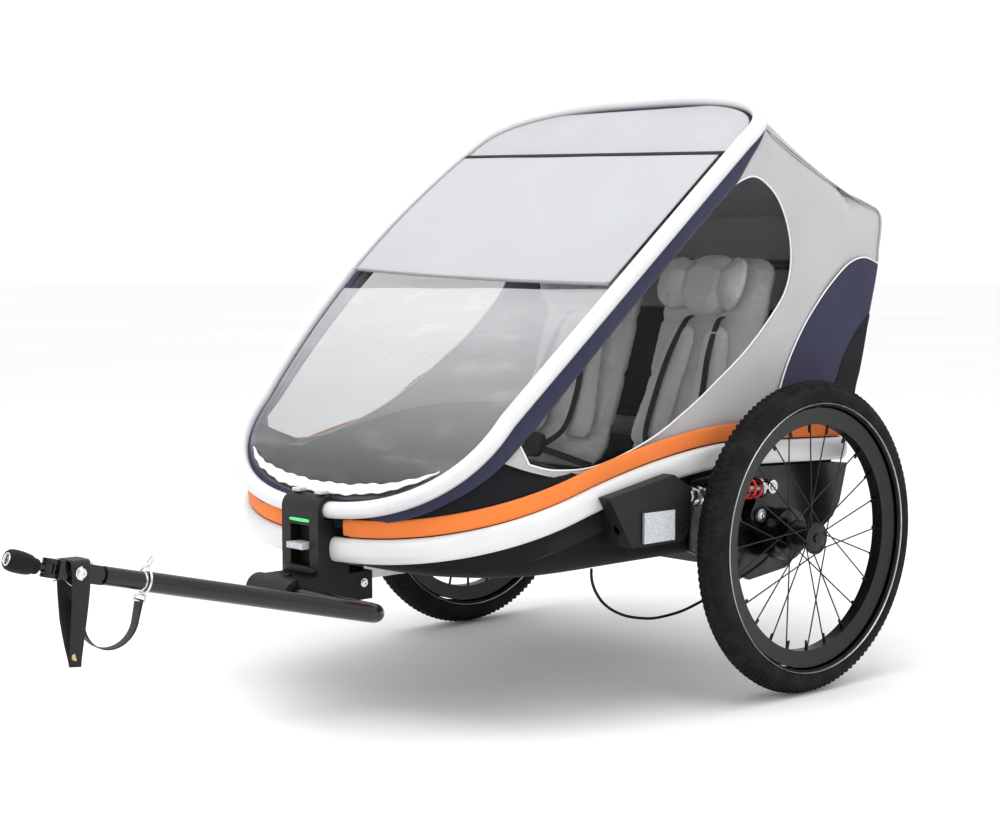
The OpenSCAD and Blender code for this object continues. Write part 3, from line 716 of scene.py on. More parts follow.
def sidePatch(name, inner, outer, material, lift, rows=26, cols=60):
    # a patch between two lines in side view, laid just outside the side wall
    a = evenLine(smoothLine(inner, 200), cols)
    b = evenLine(smoothLine(outer, 200), cols)
    w = np.linspace(0, 1, rows)[:, None, None]
    points = sidePoints(a[None] * (1 - w) + b[None] * w, lift)
    mesh = gridMesh(name + "Left", points, away=cabinMiddle)
    objs = [piece(name + "Left", mesh, material, "chassis", thick=0.001, squash=crumple),
            piece(name + "Right", mirrored(mesh, name + "Right"), material, "chassis", thick=0.001,
                  squash=crumple)]
    for obj in objs:
        sheetOf(obj, points)


navyEdge = [[4, 436], [8, 471], [32, 527], [69, 583], [108, 626], [146, 660], [190, 690], [232, 700],
            [270, 690]]
sidePatch("navyPatch", navyEdge,
          [[80, 430], [150, 430], [204, 430], [213, 480], [224, 510], [241, 578], [252, 620], [264, 660],
           [271, 686]], navyCloth, 3.2)
patchEdge = evenLine(sidePoints(smoothLine(navyEdge, 200), 3.6), 160)
pipe = gridMesh("patchPipingLeft", sweep(patchEdge, ovalProfile(1.3, 1.3, 8), [1.0, 0, 0]), closeV=True,
                caps=True)
piece("patchPipingLeft", pipe, whiteTrim, "chassis", squash=crumple)
piece("patchPipingRight", mirrored(pipe, "patchPipingRight"), whiteTrim, "chassis",
      squash=crumple)
sidePatch("blackCorner", [[140, 430], [150, 470], [162, 500], [180, 535], [205, 568], [236, 596],
                          [246, 604]],
          [[190, 428], [206, 440], [212, 478], [223, 509], [233, 545], [241, 578], [248, 603]],
          blackCloth, 4.6)


def rearPoints(edgeLineYZ, s):
    # rear wall: a sheet between the two side walls' rear edges, crowned towards the middle
    y, z = edgeLineYZ[:, :1], edgeLineYZ[:, 1:]
    crown = body["rearCrown"] * (1 - np.abs(s) ** 2.6)
    x = sideX(y, z) * s
    return np.stack([x, y + crown * np.ones_like(y), z + 0 * s + 0 * y], -1)


span = np.linspace(-1, 1, 90)[None]
edgeYZ = evenLine(smoothLine(rearEdge, 200), 60)
upperRear = edgeYZ[edgeYZ[:, 1] >= 600]
lowerRear = np.vstack([edgeYZ[edgeYZ[:, 1] < 600], upperRear[:1]])
points = rearPoints(upperRear, span)
mesh = gridMesh("rearWall", points, away=cabinMiddle)
obj = piece("rearWall", mesh, greyCloth, "chassis", ["rear_panel"], thick=0.0014,
            squash=crumple)
sheetOf(obj, points)
points = rearPoints(lowerRear, span)
mesh = gridMesh("rearPocket", points, away=cabinMiddle)
obj = piece("rearPocket", mesh, blackCloth, "chassis", thick=0.0014, squash=crumple)
sheetOf(obj, points)

# Piping, zip and hem across the rear wall
for name, height, radius, material in (("rearPiping", 600, 1.6, whiteTrim),
                                       ("rearZip", 584, 2.6, blackCloth),
                                       ("rearHem", 430, 2.2, blackCloth)):
    y = np.interp(height, edgeYZ[:, 1], edgeYZ[:, 0])
    line = rearPoints(np.array([[y, height]]), np.linspace(-0.985, 0.985, 120)[None])[0] + [0, 1.4, 0]
    data = gridMesh(name, sweep(line, ovalProfile(radius, radius * 0.7, 10), upZ), closeV=True, caps=True)
    piece(name, data, material, "chassis", squash=crumple)

half = hoopHalfOutline()
top = half[half[:, 1] > 886]
topBoth = np.vstack([top[:-1] * [-1, 1], top[::-1]])
topEven = evenLine(topBoth, 90)
front = onHoop(topEven[:, 0] * 0.99, topEven[:, 1], hoopOff(topEven[:, 1]) - 8)
s = span[0]
back = np.stack([sideX(283.0, 776.0) * s, 283 + body["rearCrown"] * (1 - np.abs(s) ** 2.6), 775 + 0 * s], 1)
v = np.linspace(0, 1, 50)[:, None, None]
droop = -6 * np.sin(np.pi * v) * np.abs(span[..., None]) ** 3 * np.array([0, 0, 1])
crown = 7 * np.sin(np.pi * v) * (1 - span[..., None] ** 2) * np.array([0, 0.4, 0.9])
points = front[None] * (1 - v) + back[None] * v + droop + crown
mesh = gridMesh("roof", points, away=cabinMiddle)
obj = piece("roof", mesh, roofCloth, "chassis", ["roof_panel"], thick=0.0014, squash=crumple)
sheetOf(obj, points)
seamLine = evenLine(sidePoints(smoothLine(roofEdge[::-1] + rearEdge[-2:0:-1], 200), 1.0), 200)
seam = gridMesh("bodySeamLeft", sweep(seamLine, ovalProfile(1.7, 1.7, 8), [1.0, 0, 0]), closeV=True,
                caps=True)
piece("bodySeamLeft", seam, roofCloth, "chassis", squash=crumple)
piece("bodySeamRight", mirrored(seam, "bodySeamRight"), roofCloth, "chassis", squash=crumple)

# Front apron: joins the hoop's foot to the band, dark mesh
upper = hoopHalfOutline(4)
upper = upper[(upper[:, 0] > 44) & (upper[:, 1] < 150)]
upperLine = evenLine(onHoop(upper[:, 0], upper[:, 1], hoopOff(upper[:, 1]) - 6), 90)
plan = frameHalfPlan(frameTube["half"] - 6)
plan = plan[(plan[:, 0] > 44) & (plan[:, 1] < -425)]
lowerLine = evenLine(np.column_stack([plan, frameZ(plan[:, 1]) + 34]), 90)
w = np.linspace(0, 1, 16)[:, None, None]
points = upperLine[None] * (1 - w) + lowerLine[None] * w
mesh = gridMesh("apronLeft", points, away=cabinMiddle)
for name, data in (("apronLeft", mesh), ("apronRight", mirrored(mesh, "apronRight"))):
    obj = piece(name, data, blackCloth, "chassis", thick=0.0012, squash=crumple)
    sheetOf(obj, points)


# Navy strip that hangs under the hoop on both sides, just outside the side wall
half = hoopHalfOutline(1)
half = evenLine(half[(half[:, 0] > 46) & (half[:, 1] < 905)], 260)
below = np.linspace(9, 9 + body["stripDeep"], 6)[None]
ends = np.clip((259 - np.arange(260)[:, None]) / 34, 0.06, 1)
hx, hu = half[:, :1], half[:, 1:]
below = 9 + (below - 9) * ends * np.clip(0.5 + (hu - 60) / 320, 0.5, 1)
points = onHoop(hx + 0 * below, hu + 0 * below, hoopOff(hu) - below)
points[..., 0] = sideX(points[..., 1], points[..., 2]) + 3.4
mesh = gridMesh("navyStripLeft", points, away=cabinMiddle)
for name, data in (("navyStripLeft", mesh), ("navyStripRight", mirrored(mesh, "navyStripRight"))):
    obj = piece(name, data, navyCloth, "hoop", thick=0.0014)
    sheetOf(obj, points)

# Dark zip tape inside the hoop, round the cover
both = wholeLoop(hoopHalfOutline(10), 360)
bothIn = wholeLoop(hoopHalfOutline(26), 360)
w = np.linspace(0, 1, 5)[None, :, None]
flat = both[:, None] * (1 - w) + bothIn[:, None] * w
points = onHoop(flat[..., 0], flat[..., 1], hoopOff(flat[..., 1]) - 6)
mesh = gridMesh("zipTape", points, closeU=True, away=cabinMiddle)
obj = piece("zipTape", mesh, navyCloth, "hoop", thick=0.0012)
sheetOf(obj, np.concatenate([points, points[:1]]))
print("fabric body made")


# Front cover

cover = {"gap": 21, "from": 22, "end": 800, "shadeEnd": 480, "filmEnd": 456, "lift": -1.5, "tilt": -0.04}


def coverGrid(u0, u1, inset, lift, rows, cols, wave=0.0, sag=0.0, tiltLow=0.0, tiltHigh=0.0):
    # rows run up the slope between two edges that may sag or tilt, and columns run across,
    # out to the inset outline
    t = np.linspace(0, 1, rows)[:, None]
    s = np.linspace(-1, 1, cols)[None]
    low = u0 - sag * (1 - s ** 2) + tiltLow * 310 * s
    high = u1 + tiltHigh * 310 * s
    u = low * (1 - t) + high * t
    x = s * insetWidth(u, inset)
    ripple = wave * (np.sin(x / 61 + u / 43) * np.sin(x / 150 - u / 190) + 0.5 * np.sin(x / 35 - u / 70))
    calm = np.clip((1 - np.abs(s)) * 5, 0, 1) * np.sin(np.pi * np.clip(t * 0.94 + 0.03, 0, 1)) ** 0.4
    return onHoop(x, u, hoopOff(u) + lift + ripple * calm)


def coverSheet(name, points, material, bodyName, stands=(), thick=0.0, squash=None):
    mesh = gridMesh(name, points, away=cabinMiddle)
    obj = piece(name, mesh, material, bodyName, list(stands), thick=thick, squash=squash, sharp=0)
    sheetOf(obj, points)
    return obj


tilt = cover["tilt"]
# The window film's grey is painted reflection. It stops below the shade's hem, so bare dark mesh shows
# there.
points = coverGrid(cover["from"] + 1, cover["filmEnd"], cover["gap"], cover["lift"], 130, 110, wave=2.0,
                   tiltHigh=0.02)
coverSheet("windowFilm", points, vinylFilm, "cover", ["front_window"])
points = coverGrid(cover["from"] + 1, cover["end"], cover["gap"] + 1, cover["lift"] - 6, 60, 60,
                   tiltHigh=tilt)
coverSheet("coverMesh", points, coverMesh, "cover")
points = coverGrid(cover["shadeEnd"], cover["end"] - 5, cover["gap"] + 3, 5.5, 90, 90, 0.9, 5, tilt, tilt)
rollUp = {"axis": tuple(slopeUp), "anchor": tuple(toFrame(onHoop(0, cover["end"] - 4, 0))), "keep": 0.2}
coverSheet("sunshadeCloth", points, shadeCloth, "cover", ["sunshade"], 0.001,
           ("shade_roll", rollUp))
s = np.linspace(-1, 1, 120)
u = cover["shadeEnd"] - 1 - 5 * (1 - s ** 2) + tilt * 310 * s
line = onHoop(s * (insetWidth(u, cover["gap"]) - 4), u, hoopOff(u) + 5.5)
hemRoll = gridMesh("shadeHemRoll", sweep(line, ovalProfile(2.2, 4.0, 14), hoopUp), closeV=True, caps=True)
piece("shadeHemRoll", hemRoll, shadeCloth, "hem", ["shade_hem"])
points = coverGrid(cover["end"] + 7, 946, cover["gap"] - 2, 0.5, 40, 110, 0.6, 0, tilt)
coverSheet("frontRoofCloth", points, roofCloth, "hoop", ["front_roof"], 0.0012)
# A black strip along the cover's top seam: painted shade standing for the dark gap between the cover and the
# front roof.
points = coverGrid(cover["end"] - 4, cover["end"] + 8, cover["gap"] - 4, 3.2, 4, 90, 0, 0, tilt, tilt)
coverSheet("coverGapShadow", points, blackCloth, "cover", (), 0.002)

# White hem round the window's lower corners
outer = hoopHalfOutline(cover["gap"] + 6)
inner = hoopHalfOutline(cover["gap"] + 25)
outer = outer[outer[:, 1] < 92]
inner = inner[inner[:, 1] < 104]
outerBoth = evenLine(np.vstack([(outer * [-1, 1])[:0:-1], outer]), 160)
innerBoth = evenLine(np.vstack([(inner * [-1, 1])[:0:-1], inner]), 160)
k = np.arange(160)
frayed = (1.1 * np.sin(k * 0.55) + 0.8 * np.sin(k * 0.23 + 1))[:, None] * [0, 1]
ends = np.minimum(np.clip(k / 45, 0.03, 1), np.clip((159 - k) / 45, 0.03, 1))[:, None, None] ** 0.6
w = np.linspace(0, 1, 8)[None, :, None]
flat = (outerBoth + frayed)[:, None] + (innerBoth - outerBoth)[:, None] * w * ends
along, across = k[:, None], w[..., 0]
crease = 1.5 * np.sin(along * 0.9 + 4 * across) * np.sin(along * 0.13) * np.sin(np.pi * across)
points = onHoop(flat[..., 0], flat[..., 1], hoopOff(flat[..., 1]) + 2.4 + crease)
mesh = gridMesh("windowHem", points, away=cabinMiddle)
obj = piece("windowHem", mesh, whiteTrim, "cover", thick=0.001)
sheetOf(obj, points)
print("front cover made")


# Floor tub

tub = {"half": 318, "bottom": 231, "round": 26}
planPoints = [[0, -641], [120, -640], [215, -619], [288, -561], [316, -480], [318, -300],
              [318, -100], [318, 60], [312, 150], [280, 190], [150, 201], [0, 203]]
planHalf = evenLine(smoothLine(planPoints, 300), 150)
loop = wholeLoop(planHalf, 300)
rimZ = frameZ(loop[:, 1]) - 21
centre = np.array([0, -220.0])
rows = []
for shrink in (0.02, 0.5, 0.8):
    rows.append(np.column_stack([centre + (loop - centre) * shrink, np.full(300, tub["bottom"])]))
normal = unitRows(loop - centre)
for turn in np.linspace(0, math.pi / 2, 7):
    inset = tub["round"] * (1 - math.sin(turn))
    height = tub["bottom"] + tub["round"] * (1 - math.cos(turn))
    rows.append(np.column_stack([loop - normal * inset, np.full(300, height)]))
for rise in (0.3, 0.6, 0.85, 1.0):
    z = tub["bottom"] + tub["round"] + (rimZ - tub["bottom"] - tub["round"]) * rise
    bulge = 2.5 * np.sin(math.pi * rise) * np.sin(loop[:, 1] / 55)[:, None]
    rows.append(np.column_stack([loop + normal * (bulge - 1), z]))
points = np.array(rows)
mesh = gridMesh("floorTub", points, closeV=True, away=toFrame([0, -220, 330]))
piece("floorTub", mesh, blackCloth, "chassis", ["floor_tub"], thick=0.0025)

# Dark lining inside the frame, from above the tube down to the floor, all the way round
levels = [(340, 44), (335, 30), (333, 8), (331, -20), (322, -60)]
rows = [frameLoop(half, rise, 300) for half, rise in levels]
points = np.array(rows + [rows[-1] * [0.93, 0.96, 0.9]])
points[..., 1] = np.clip(points[..., 1], -640, 1000)
points[..., 2] = np.maximum(points[..., 2], 252)
mesh = gridMesh("tubLining", points, closeV=True, away=cabinMiddle)
obj = piece("tubLining", mesh, blackCloth, "chassis", thick=0.001)
sheetOf(obj, np.concatenate([points, points[:, :1]], 1))
print("floor tub and lining made")


# Wheels

wheel = {"radius": 253, "half": 25, "track": 415, "blocks": 132, "tread": 2.2}


def wheelPoints(around, r, side, z=253):
    # a point at radius r and angle around, a distance side from the wheel's plane
    parts = np.broadcast_arrays(wheel["track"] + side, r * np.cos(around), z + r * np.sin(around))
    return np.stack(parts, -1)


around = np.linspace(0, 2 * np.pi, 1056, endpoint=False)[:, None]
turnAngle = np.linspace(-2.25, 2.25, 54)[None]
grooves = np.clip(np.sin(around * wheel["blocks"] + 5.0 * np.abs(turnAngle)) * 3.0, -1, 1) * 0.5 + 0.5
crownGroove = np.clip(np.cos(turnAngle * 9.5) * 2.5, -1, 1) * 0.5 + 0.5
treadZone = np.clip((1.15 - np.abs(turnAngle)) * 6, 0, 1)
depth = wheel["tread"] * treadZone * np.clip(1 - grooves * (0.35 + 0.65 * crownGroove), 0, 1)
r = wheel["radius"] - wheel["half"] + (wheel["half"] - depth) * np.cos(turnAngle)
side = (wheel["half"] - depth) * np.sin(turnAngle) + 0 * around
tyreMesh = gridMesh("tyreLeft", wheelPoints(around + 0 * turnAngle, r, side), True)
stripes = []
for sign in (1, -1):
    a = np.linspace(0, 2 * np.pi, 180, endpoint=False)
    stripeLine = wheelPoints(a, 217.0, sign * 22.7)
    stripes.append(sweep(stripeLine, ovalProfile(0.8, 2.8, 8), [1.0, 0, 0], True))
for side, label in ((1, "Left"), (-1, "Right")):
    tag = "l" if side > 0 else "r"
    data = tyreMesh if side > 0 else mirrored(tyreMesh, "tyreRight")
    piece("tyre" + label, data, tyreRubber, "wheel_" + tag, ["tyre_" + tag], sharp=0)
    for k, points in enumerate(stripes):
        stripe = gridMesh(f"stripe{label}{k}", points * [side, 1, 1], True, True)
        piece(f"stripe{label}{k}", stripe, stripeFilm, "wheel_" + tag)
print("tyres made")


# Suspension

spring = {"from": -158.6, "to": -67, "turns": 6, "radius": 14.5, "wire": 2.6}
a = np.linspace(0, spring["turns"] * 2 * np.pi, spring["turns"] * 36)
coil = np.stack([360 + spring["radius"] * np.cos(a), np.linspace(spring["from"], spring["to"], len(a)),
                 333 + spring["radius"] * np.sin(a)], 1)
coilMesh = gridMesh("springLeft", sweep(coil, ovalProfile(spring["wire"], spring["wire"], 12), [0, 1.0, 0]),
                    closeV=True, caps=True)
settle = {"axis": (0, 1, 0), "anchor": tuple(toFrame([360, spring["from"] - 3, 333])), "keep": 0.82}
for side, label in ((1, "Left"), (-1, "Right")):
    tag = "l" if side > 0 else "r"
    data = coilMesh if side > 0 else mirrored(coilMesh, "springRight")
    piece("spring" + label, data, redPaint, "chassis", ["coil_spring_" + tag],
          squash=("shock_slide_" + tag, settle))
print("springs made")


# Seats

seat = {"creaseY": -50, "creaseZ": 312, "lean": math.radians(20), "middle": 148}


def onSeat(p):
    # seat back coordinates: x across, y behind the face, z up the back
    x, y, z = np.moveaxis(np.asarray(p, float), -1, 0)
    c, s = math.cos(seat["lean"]), math.sin(seat["lean"])
    return np.stack([x, seat["creaseY"] + y * c + z * s, seat["creaseZ"] - y * s + z * c], -1)


def roundedBlock(a, b, c, flat=0.4, edge=0.5, rows=50, cols=100):
    # a superellipsoid: cosines and sines raised to small powers give flat faces and round corners
    def bent(v, e):
        return np.sign(v) * np.abs(v) ** e
    v = np.linspace(-math.pi / 2, math.pi / 2, rows)[:, None]
    w = np.linspace(-math.pi, math.pi, cols, endpoint=False)[None]
    x = a * bent(np.cos(v), edge) * bent(np.cos(w), flat)
    y = b * bent(np.cos(v), edge) * bent(np.sin(w), flat)
    z = c * bent(np.sin(v), edge) + 0 * w
    return np.stack([x, y, z], -1)


def blockMesh(name, points):
    mesh = gridMesh(name, points, closeV=True)
    closedOutward(mesh, 1e-5)
    return mesh


def evaluated(obj):
    graph = bpy.context.evaluated_depsgraph_get()
    return bpy.data.meshes.new_from_object(obj.evaluated_get(graph))


def puffed(name, mesh, cap, voxel=0.006, pressure=4.0):
    # blows a closed form up as cloth for 20 frames, and lets no point move further than cap
    obj = bpy.data.objects.new(name + "Form", mesh)
    bpy.context.scene.collection.objects.link(obj)
    grid = obj.modifiers.new("voxels", "REMESH")
    grid.mode = "VOXEL"
    grid.voxel_size = voxel
    formed = evaluated(obj)
    obj.modifiers.clear()
    obj.data = formed
    rest = np.zeros(len(formed.vertices) * 3)
    formed.vertices.foreach_get("co", rest)
    cloth = obj.modifiers.new("cloth", "CLOTH")
    cloth.settings.use_pressure = True
    cloth.settings.uniform_pressure_force = pressure
    cloth.settings.effector_weights.gravity = 0
    cloth.settings.quality = 5
    scene = bpy.context.scene
    for step in range(1, 21):
        scene.frame_set(step)
    blown = evaluated(obj)
    co = np.zeros(len(blown.vertices) * 3)
    blown.vertices.foreach_get("co", co)
    rest, co = rest.reshape(-1, 3), co.reshape(-1, 3)
    move = co - rest
    far = np.linalg.norm(move, axis=1, keepdims=True)
    co = rest + move * np.minimum(1, cap / np.maximum(far, 1e-9))
    blown.vertices.foreach_set("co", co.ravel())
    blown.update()
    bpy.data.objects.remove(obj)
    scene.frame_set(1)
    return blown


def sewn(mesh, heightOf, depth, width):
    # presses a channel into a pad along the line where heightOf is nought
    n = len(mesh.vertices)
    co, no = np.zeros(n * 3), np.zeros(n * 3)
    mesh.vertices.foreach_get("co", co)
    mesh.vertices.foreach_get("normal", no)
    co, no = co.reshape(-1, 3), no.reshape(-1, 3)
    co = co - no * (depth * np.exp(-(heightOf(co) / width) ** 2))[:, None]
    mesh.vertices.foreach_set("co", co.ravel())
    mesh.update()


def seatHeight(co):
    # height up the seat back of points in metres in the frame
    y, z = co[:, 1] - (axleY + seat["creaseY"] * 0.001), co[:, 2] - seat["creaseZ"] * 0.001
    return y * math.sin(seat["lean"]) + z * math.cos(seat["lean"])


def pad(name, mesh, bodyName, stands=(), squash=None):
    obj = piece(name, mesh, seatCloth, bodyName, list(stands), sub=1, sharp=0, squash=squash)


def bothSeats(name, mesh, nodeName):
    for data, tag, label in ((mesh, "l", "Left"), (mirrored(mesh, name + "Right"), "r", "Right")):
        stands = [nodeName + "_" + tag] if nodeName else []
        pad(name + label, data, "seat_" + tag, stands, crumple)


form = blockMesh("benchForm", roundedBlock(136, 124, 24, 0.35, 0.4) + [seat["middle"] - 2, -202, 262])
bench = puffed("bench", form, 0.012)
sewn(bench, lambda co: co[:, 1] - (axleY - 0.2), 0.005, 0.006)
sewn(bench, lambda co: co[:, 1] - (axleY - 0.27), 0.004, 0.006)
pad("benchLeft", bench, "chassis", ["seat_base"])
pad("benchRight", mirrored(bench, "benchRight"), "chassis", ())

form = roundedBlock(126, 10, 208, 0.3, 0.35)
hollow = 10 * (np.abs(form[..., 0]) / 126) ** 2 * np.clip(form[..., 2] / 120, 0, 1)
form = form + np.stack([0 * hollow, -hollow, 0 * hollow], -1) + [seat["middle"], 20, 220]
back = puffed("seatBack", blockMesh("backForm", onSeat(form)), 0.010)
for level in (0.10, 0.20, 0.30):
    sewn(back, lambda co, level=level: seatHeight(co) - level, 0.004, 0.006)
bothSeats("seatBack", back, "seat_back")

# Headrest: a wide pad whose two lobes turn forward as wings
form = roundedBlock(98, 13, 60, 0.75, 0.7)
wing = 26 * (np.abs(form[..., 0]) / 96) ** 2.2
waist = 1 - 0.12 * np.exp(-((np.abs(form[..., 0]) - 46) / 14) ** 2)
form = np.stack([form[..., 0], form[..., 1] - wing, form[..., 2] * waist], -1) + [seat["middle"], -18, 356]
rest = puffed("headrest", blockMesh("headrestForm", onSeat(form)), 0.009, 0.005)
for side in (-1, 1):
    sewn(rest, lambda co, side=side: co[:, 0] - (seat["middle"] + side * 40) * 0.001, 0.005, 0.005)
bothSeats("headrest", rest, "headrest")

form = roundedBlock(35, 5, 112, 0.5, 0.5, 40, 60)
padMeshes = []
for x, turn in ((98, 0.12), (198, -0.12)):
    lean = form + 0
    lean[..., 0] = form[..., 0] * (1.18 - 0.2 * form[..., 2] / 104) + turn * form[..., 2]
    padMeshes.append(puffed(f"harnessPad{x}", blockMesh(f"padForm{x}", onSeat(lean + [x, -11, 178])), 0.005,
                            0.005))
for k, mesh in enumerate(padMeshes):
    bothSeats(f"harnessPad{k}", mesh, "harness" if k == 0 else None)
print("seats and pads made")


def webbing(name, line, width, up, bodyName):
    # a thin flat profile carried along a line
    strip = sweep(evenLine(smoothLine(line, 200), 120), ovalProfile(width / 2, 0.9, 16, 6), up)
    mesh = gridMesh(name, strip, closeV=True, caps=True)
    piece(name, mesh, blackWebbing, bodyName, squash=crumple)


harnessLines = {
    "shoulderA": [[112, -2, 305], [111, -14, 290], [104, -25, 230], [95, -25, 150], [100, -28, 80],
                  [138, -34, 44]],
    "shoulderB": [[184, -2, 305], [185, -14, 290], [192, -25, 230], [201, -25, 150], [196, -28, 80],
                  [158, -34, 44]],
    "hip": [[34, -4, 22], [60, -22, 26], [110, -36, 34], [148, -40, 38], [186, -36, 34], [236, -22, 26],
            [262, -4, 22]],
    "crotch": [[148, -120, -18], [148, -92, -6], [148, -64, 12], [148, -42, 34]]}
seatUp = onSeat([0, -1.0, 0]) - onSeat([0, 0.0, 0])
for side, tag, label in ((1, "l", "Left"), (-1, "r", "Right")):
    flip = np.array([side, 1, 1.0])
    for name, line in harnessLines.items():
        webbing(f"{name}{label}", onSeat(line) * flip, 12, seatUp, "seat_" + tag)
    form = onSeat(roundedBlock(24, 7, 22, 0.5, 0.5, 24, 40) + [148, -44, 42]) * flip
    piece(f"buckle{label}", blockMesh(f"buckle{label}", form), blackNylon, "seat_" + tag,
          squash=crumple)
print("harness made")


# Tower, brackets and other hard parts

for node, name, material, width in (("front_tower", "towerBody", grainedNylon, 0.005),
                                    ("release_lever", "leverBody", greyPlastic, 0.002),
                                    ("side_brackets", "bracketBody", blackNylon, 0.004),
                                    ("reflectors", "reflectorBody", prism, 0.0012),
                                    ("side_plates", "sidePlateBody", blackPaint, 0.002),
                                    ("rear_hinge_blocks", "hingeBlockBody", blackNylon, 0.002),
                                    ("hitch_block", "hitchBlockBody", blackPaint, 0.0015),
                                    ("swing_arm_l", "swingArmLeft", blackPaint, 0.002),
                                    ("swing_arm_r", "swingArmRight", blackPaint, 0.002),
                                    ("cover_buckles", "coverBuckleBody", greyPlastic, 0.0015)):
    home = nodes[node]["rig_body"]
    bevelledCopy(node, name, material, width, home)


def turned(name, profile, origin, axis, material, bodyName, sides=48, stands=(), sharp=40):
    # a profile of (distance along the axis, radius) turned about the axis
    axis = unitRows(np.asarray(axis, float))
    helper = [0, 0, 1.0] if abs(axis[2]) < 0.9 else [1.0, 0, 0]
    across = unitRows(np.cross(axis, helper))
    other = np.cross(axis, across)
    profile = np.asarray(profile, float)
    a = np.linspace(0, 2 * np.pi, sides, endpoint=False)[None, :, None]
    outward = np.cos(a) * across + np.sin(a) * other
    points = origin + profile[:, None, :1] * axis + profile[:, None, 1:] * outward
    mesh = gridMesh(name, points, closeV=True, caps=True)
    return piece(name, mesh, material, bodyName, list(stands), sharp=sharp)


def boltHead(name, origin, axis, radius, bodyName, material=None, high=3.0):
    # a washer, a domed head and a round socket recess
    profile = [[0, radius * 1.35], [0.8, radius * 1.35], [0.8, radius], [high * 0.7, radius],
               [high, radius * 0.8], [high, radius * 0.45], [high - 1.6, radius * 0.42]]
    turned(name, profile, origin, axis, material or brightSteel, bodyName, 30, sharp=30)


form = roundedBlock(25, 1.4, 2.6, 0.4, 0.5, 16, 32) + [0, -703.6, 305.5]
piece("greenMark", blockMesh("greenMark", form), greenPlastic, "chassis")
form = roundedBlock(40, 4, 6, 0.4, 0.5, 20, 40) + [0, -703, 230]
piece("towerLip", blockMesh("towerLip", form), blackNylon, "chassis")
boltHead("towerBolt", [46, -616, 204], [1, 0, 0], 5, "chassis")
boltHead("towerBoltRight", [-46, -616, 204], [-1, 0, 0], 5, "chassis")
boltHead("towerTopBolt", [0, -728, 222], [0, 0, 1], 6, "chassis", blackSteel)
for side, label in ((1, "Left"), (-1, "Right")):
    boltHead(f"pivotBolt{label}", [side * 357, -45, 286], [side, 0, 0], 6.5, "chassis")
    boltHead(f"shockBolt{label}", [side * 369, -31, 333], [side, 0, 0], 4.6, "arm_" + label[0].lower())
    boltHead(f"bracketBolt{label}", [side * 386, -270, 290], [side, 0, 0], 3.4, "chassis", blackSteel)
    collar = [[0, 12.6], [0.5, 15.5], [9, 15.5], [9.5, 12.6], [14, 12.6], [14.5, 16.5], [22, 16.5],
              [22.5, 12.3]]
    turned(f"shockCollar{label}", collar, [side * 360, -226, 333], [0, 1, 0], brightSteel, "chassis")
    turned(f"hubCap{label}", [[-1.0, 20.9], [0.4, 20.9], [1.2, 19.8], [1.2, 9.6]],
           [side * 433.2, 0, wheel["radius"]], [side, 0, 0],
           blackAlloy, "wheel_" + label[0].lower(), 60)

# Spoke nipples at the rim, all of a wheel's in one piece
for side, label in ((1, "Left"), (-1, "Right")):
    work = bmesh.new()
    for a in np.arange(24) * 2 * np.pi / 24:
        radial = np.array([0, math.sin(a), -math.cos(a)])
        line = np.array([wheel["track"], 0, wheel["radius"]]) + np.outer([169, 170, 184], radial)
        tube = sweep(line, ovalProfile(2.1, 2.1, 8), [1.0, 0, 0]) * [side, 1, 1]
        work.from_mesh(gridMesh("nipple", tube, closeV=True, caps=True))
    mesh = bpy.data.meshes.new("nipples" + label)
    work.to_mesh(mesh)
    work.free()
    piece("nipples" + label, mesh, blackSteel, "wheel_" + label[0].lower())
print("hard details made")


# Drawbar and hitch

drawbar = {"crossY": -740, "crossZ": 198, "slope": math.radians(13.5), "x": 250, "pitchAt": 568,
           "bootRest": math.radians(6)}


def onDrawbar(p):
    # drawbar coordinates: x across, forward along the tube, up square to it
    x, forward, up = np.moveaxis(np.asarray(p, float), -1, 0)
    c, s = math.cos(drawbar["slope"]), math.sin(drawbar["slope"])
    return np.stack([x + drawbar["x"], drawbar["crossY"] - forward * c + up * s,
                     drawbar["crossZ"] + forward * s + up * c], -1)


forwardWay = onDrawbar([0, 1.0, 0]) - onDrawbar([0, 0.0, 0])
upWay = onDrawbar([0, 0.0, 1]) - onDrawbar([0, 0.0, 0])
tilt = drawbar["bootRest"]
bootWay = forwardWay * math.cos(tilt) + upWay * math.sin(tilt)
bootProfile = [[-8, 7.2], [-8, 9.2], [-5, 10.2], [-3, 9.2], [-1, 10.8], [2, 12.3], [8, 13.4], [15, 14.0],
               [22, 14.2],
               [28, 13.8], [32, 12.8], [34.6, 10.8], [35, 9], [34.6, 8.4], [28, 8.2]]
turned("boot", bootProfile, onDrawbar([0, drawbar["pitchAt"], 0]), bootWay, bootRubber, "boot",
       56,
       ["hitch_boot"], 60)
ringProfile = [[28, 6.2], [34, 6.2], [35.2, 6.8], [35.4, 7.6], [34.8, 8.6], [28, 8.6]]
turned("bootRing", ringProfile, onDrawbar([0, drawbar["pitchAt"], 0]), bootWay, brightSteel, "boot",
       56)
boltHead("strapBolt", onDrawbar([21.4, 509, 0]), [1, 0, 0], 6.5, "drawbar", high=3.4)
turned("sleeveRing", [[0, 12.4], [0.6, 13.4], [3.4, 13.4], [4, 12.4]], onDrawbar([0, 405, 0]), forwardWay,
       brightSteel,
       "drawbar")

wire = [[-3, 490, -17], [-9, 492, -19], [-15, 500, -18], [-17, 512, -12], [-16, 522, -15], [-10, 528, -17],
        [0, 530, -17.5]]
clip = gridMesh("pinClip", sweep(onDrawbar(smoothLine(wire, 60)), ovalProfile(0.9, 0.9, 8), upWay),
                closeV=True, caps=True)
piece("pinClip", clip, brightSteel, "drawbar")

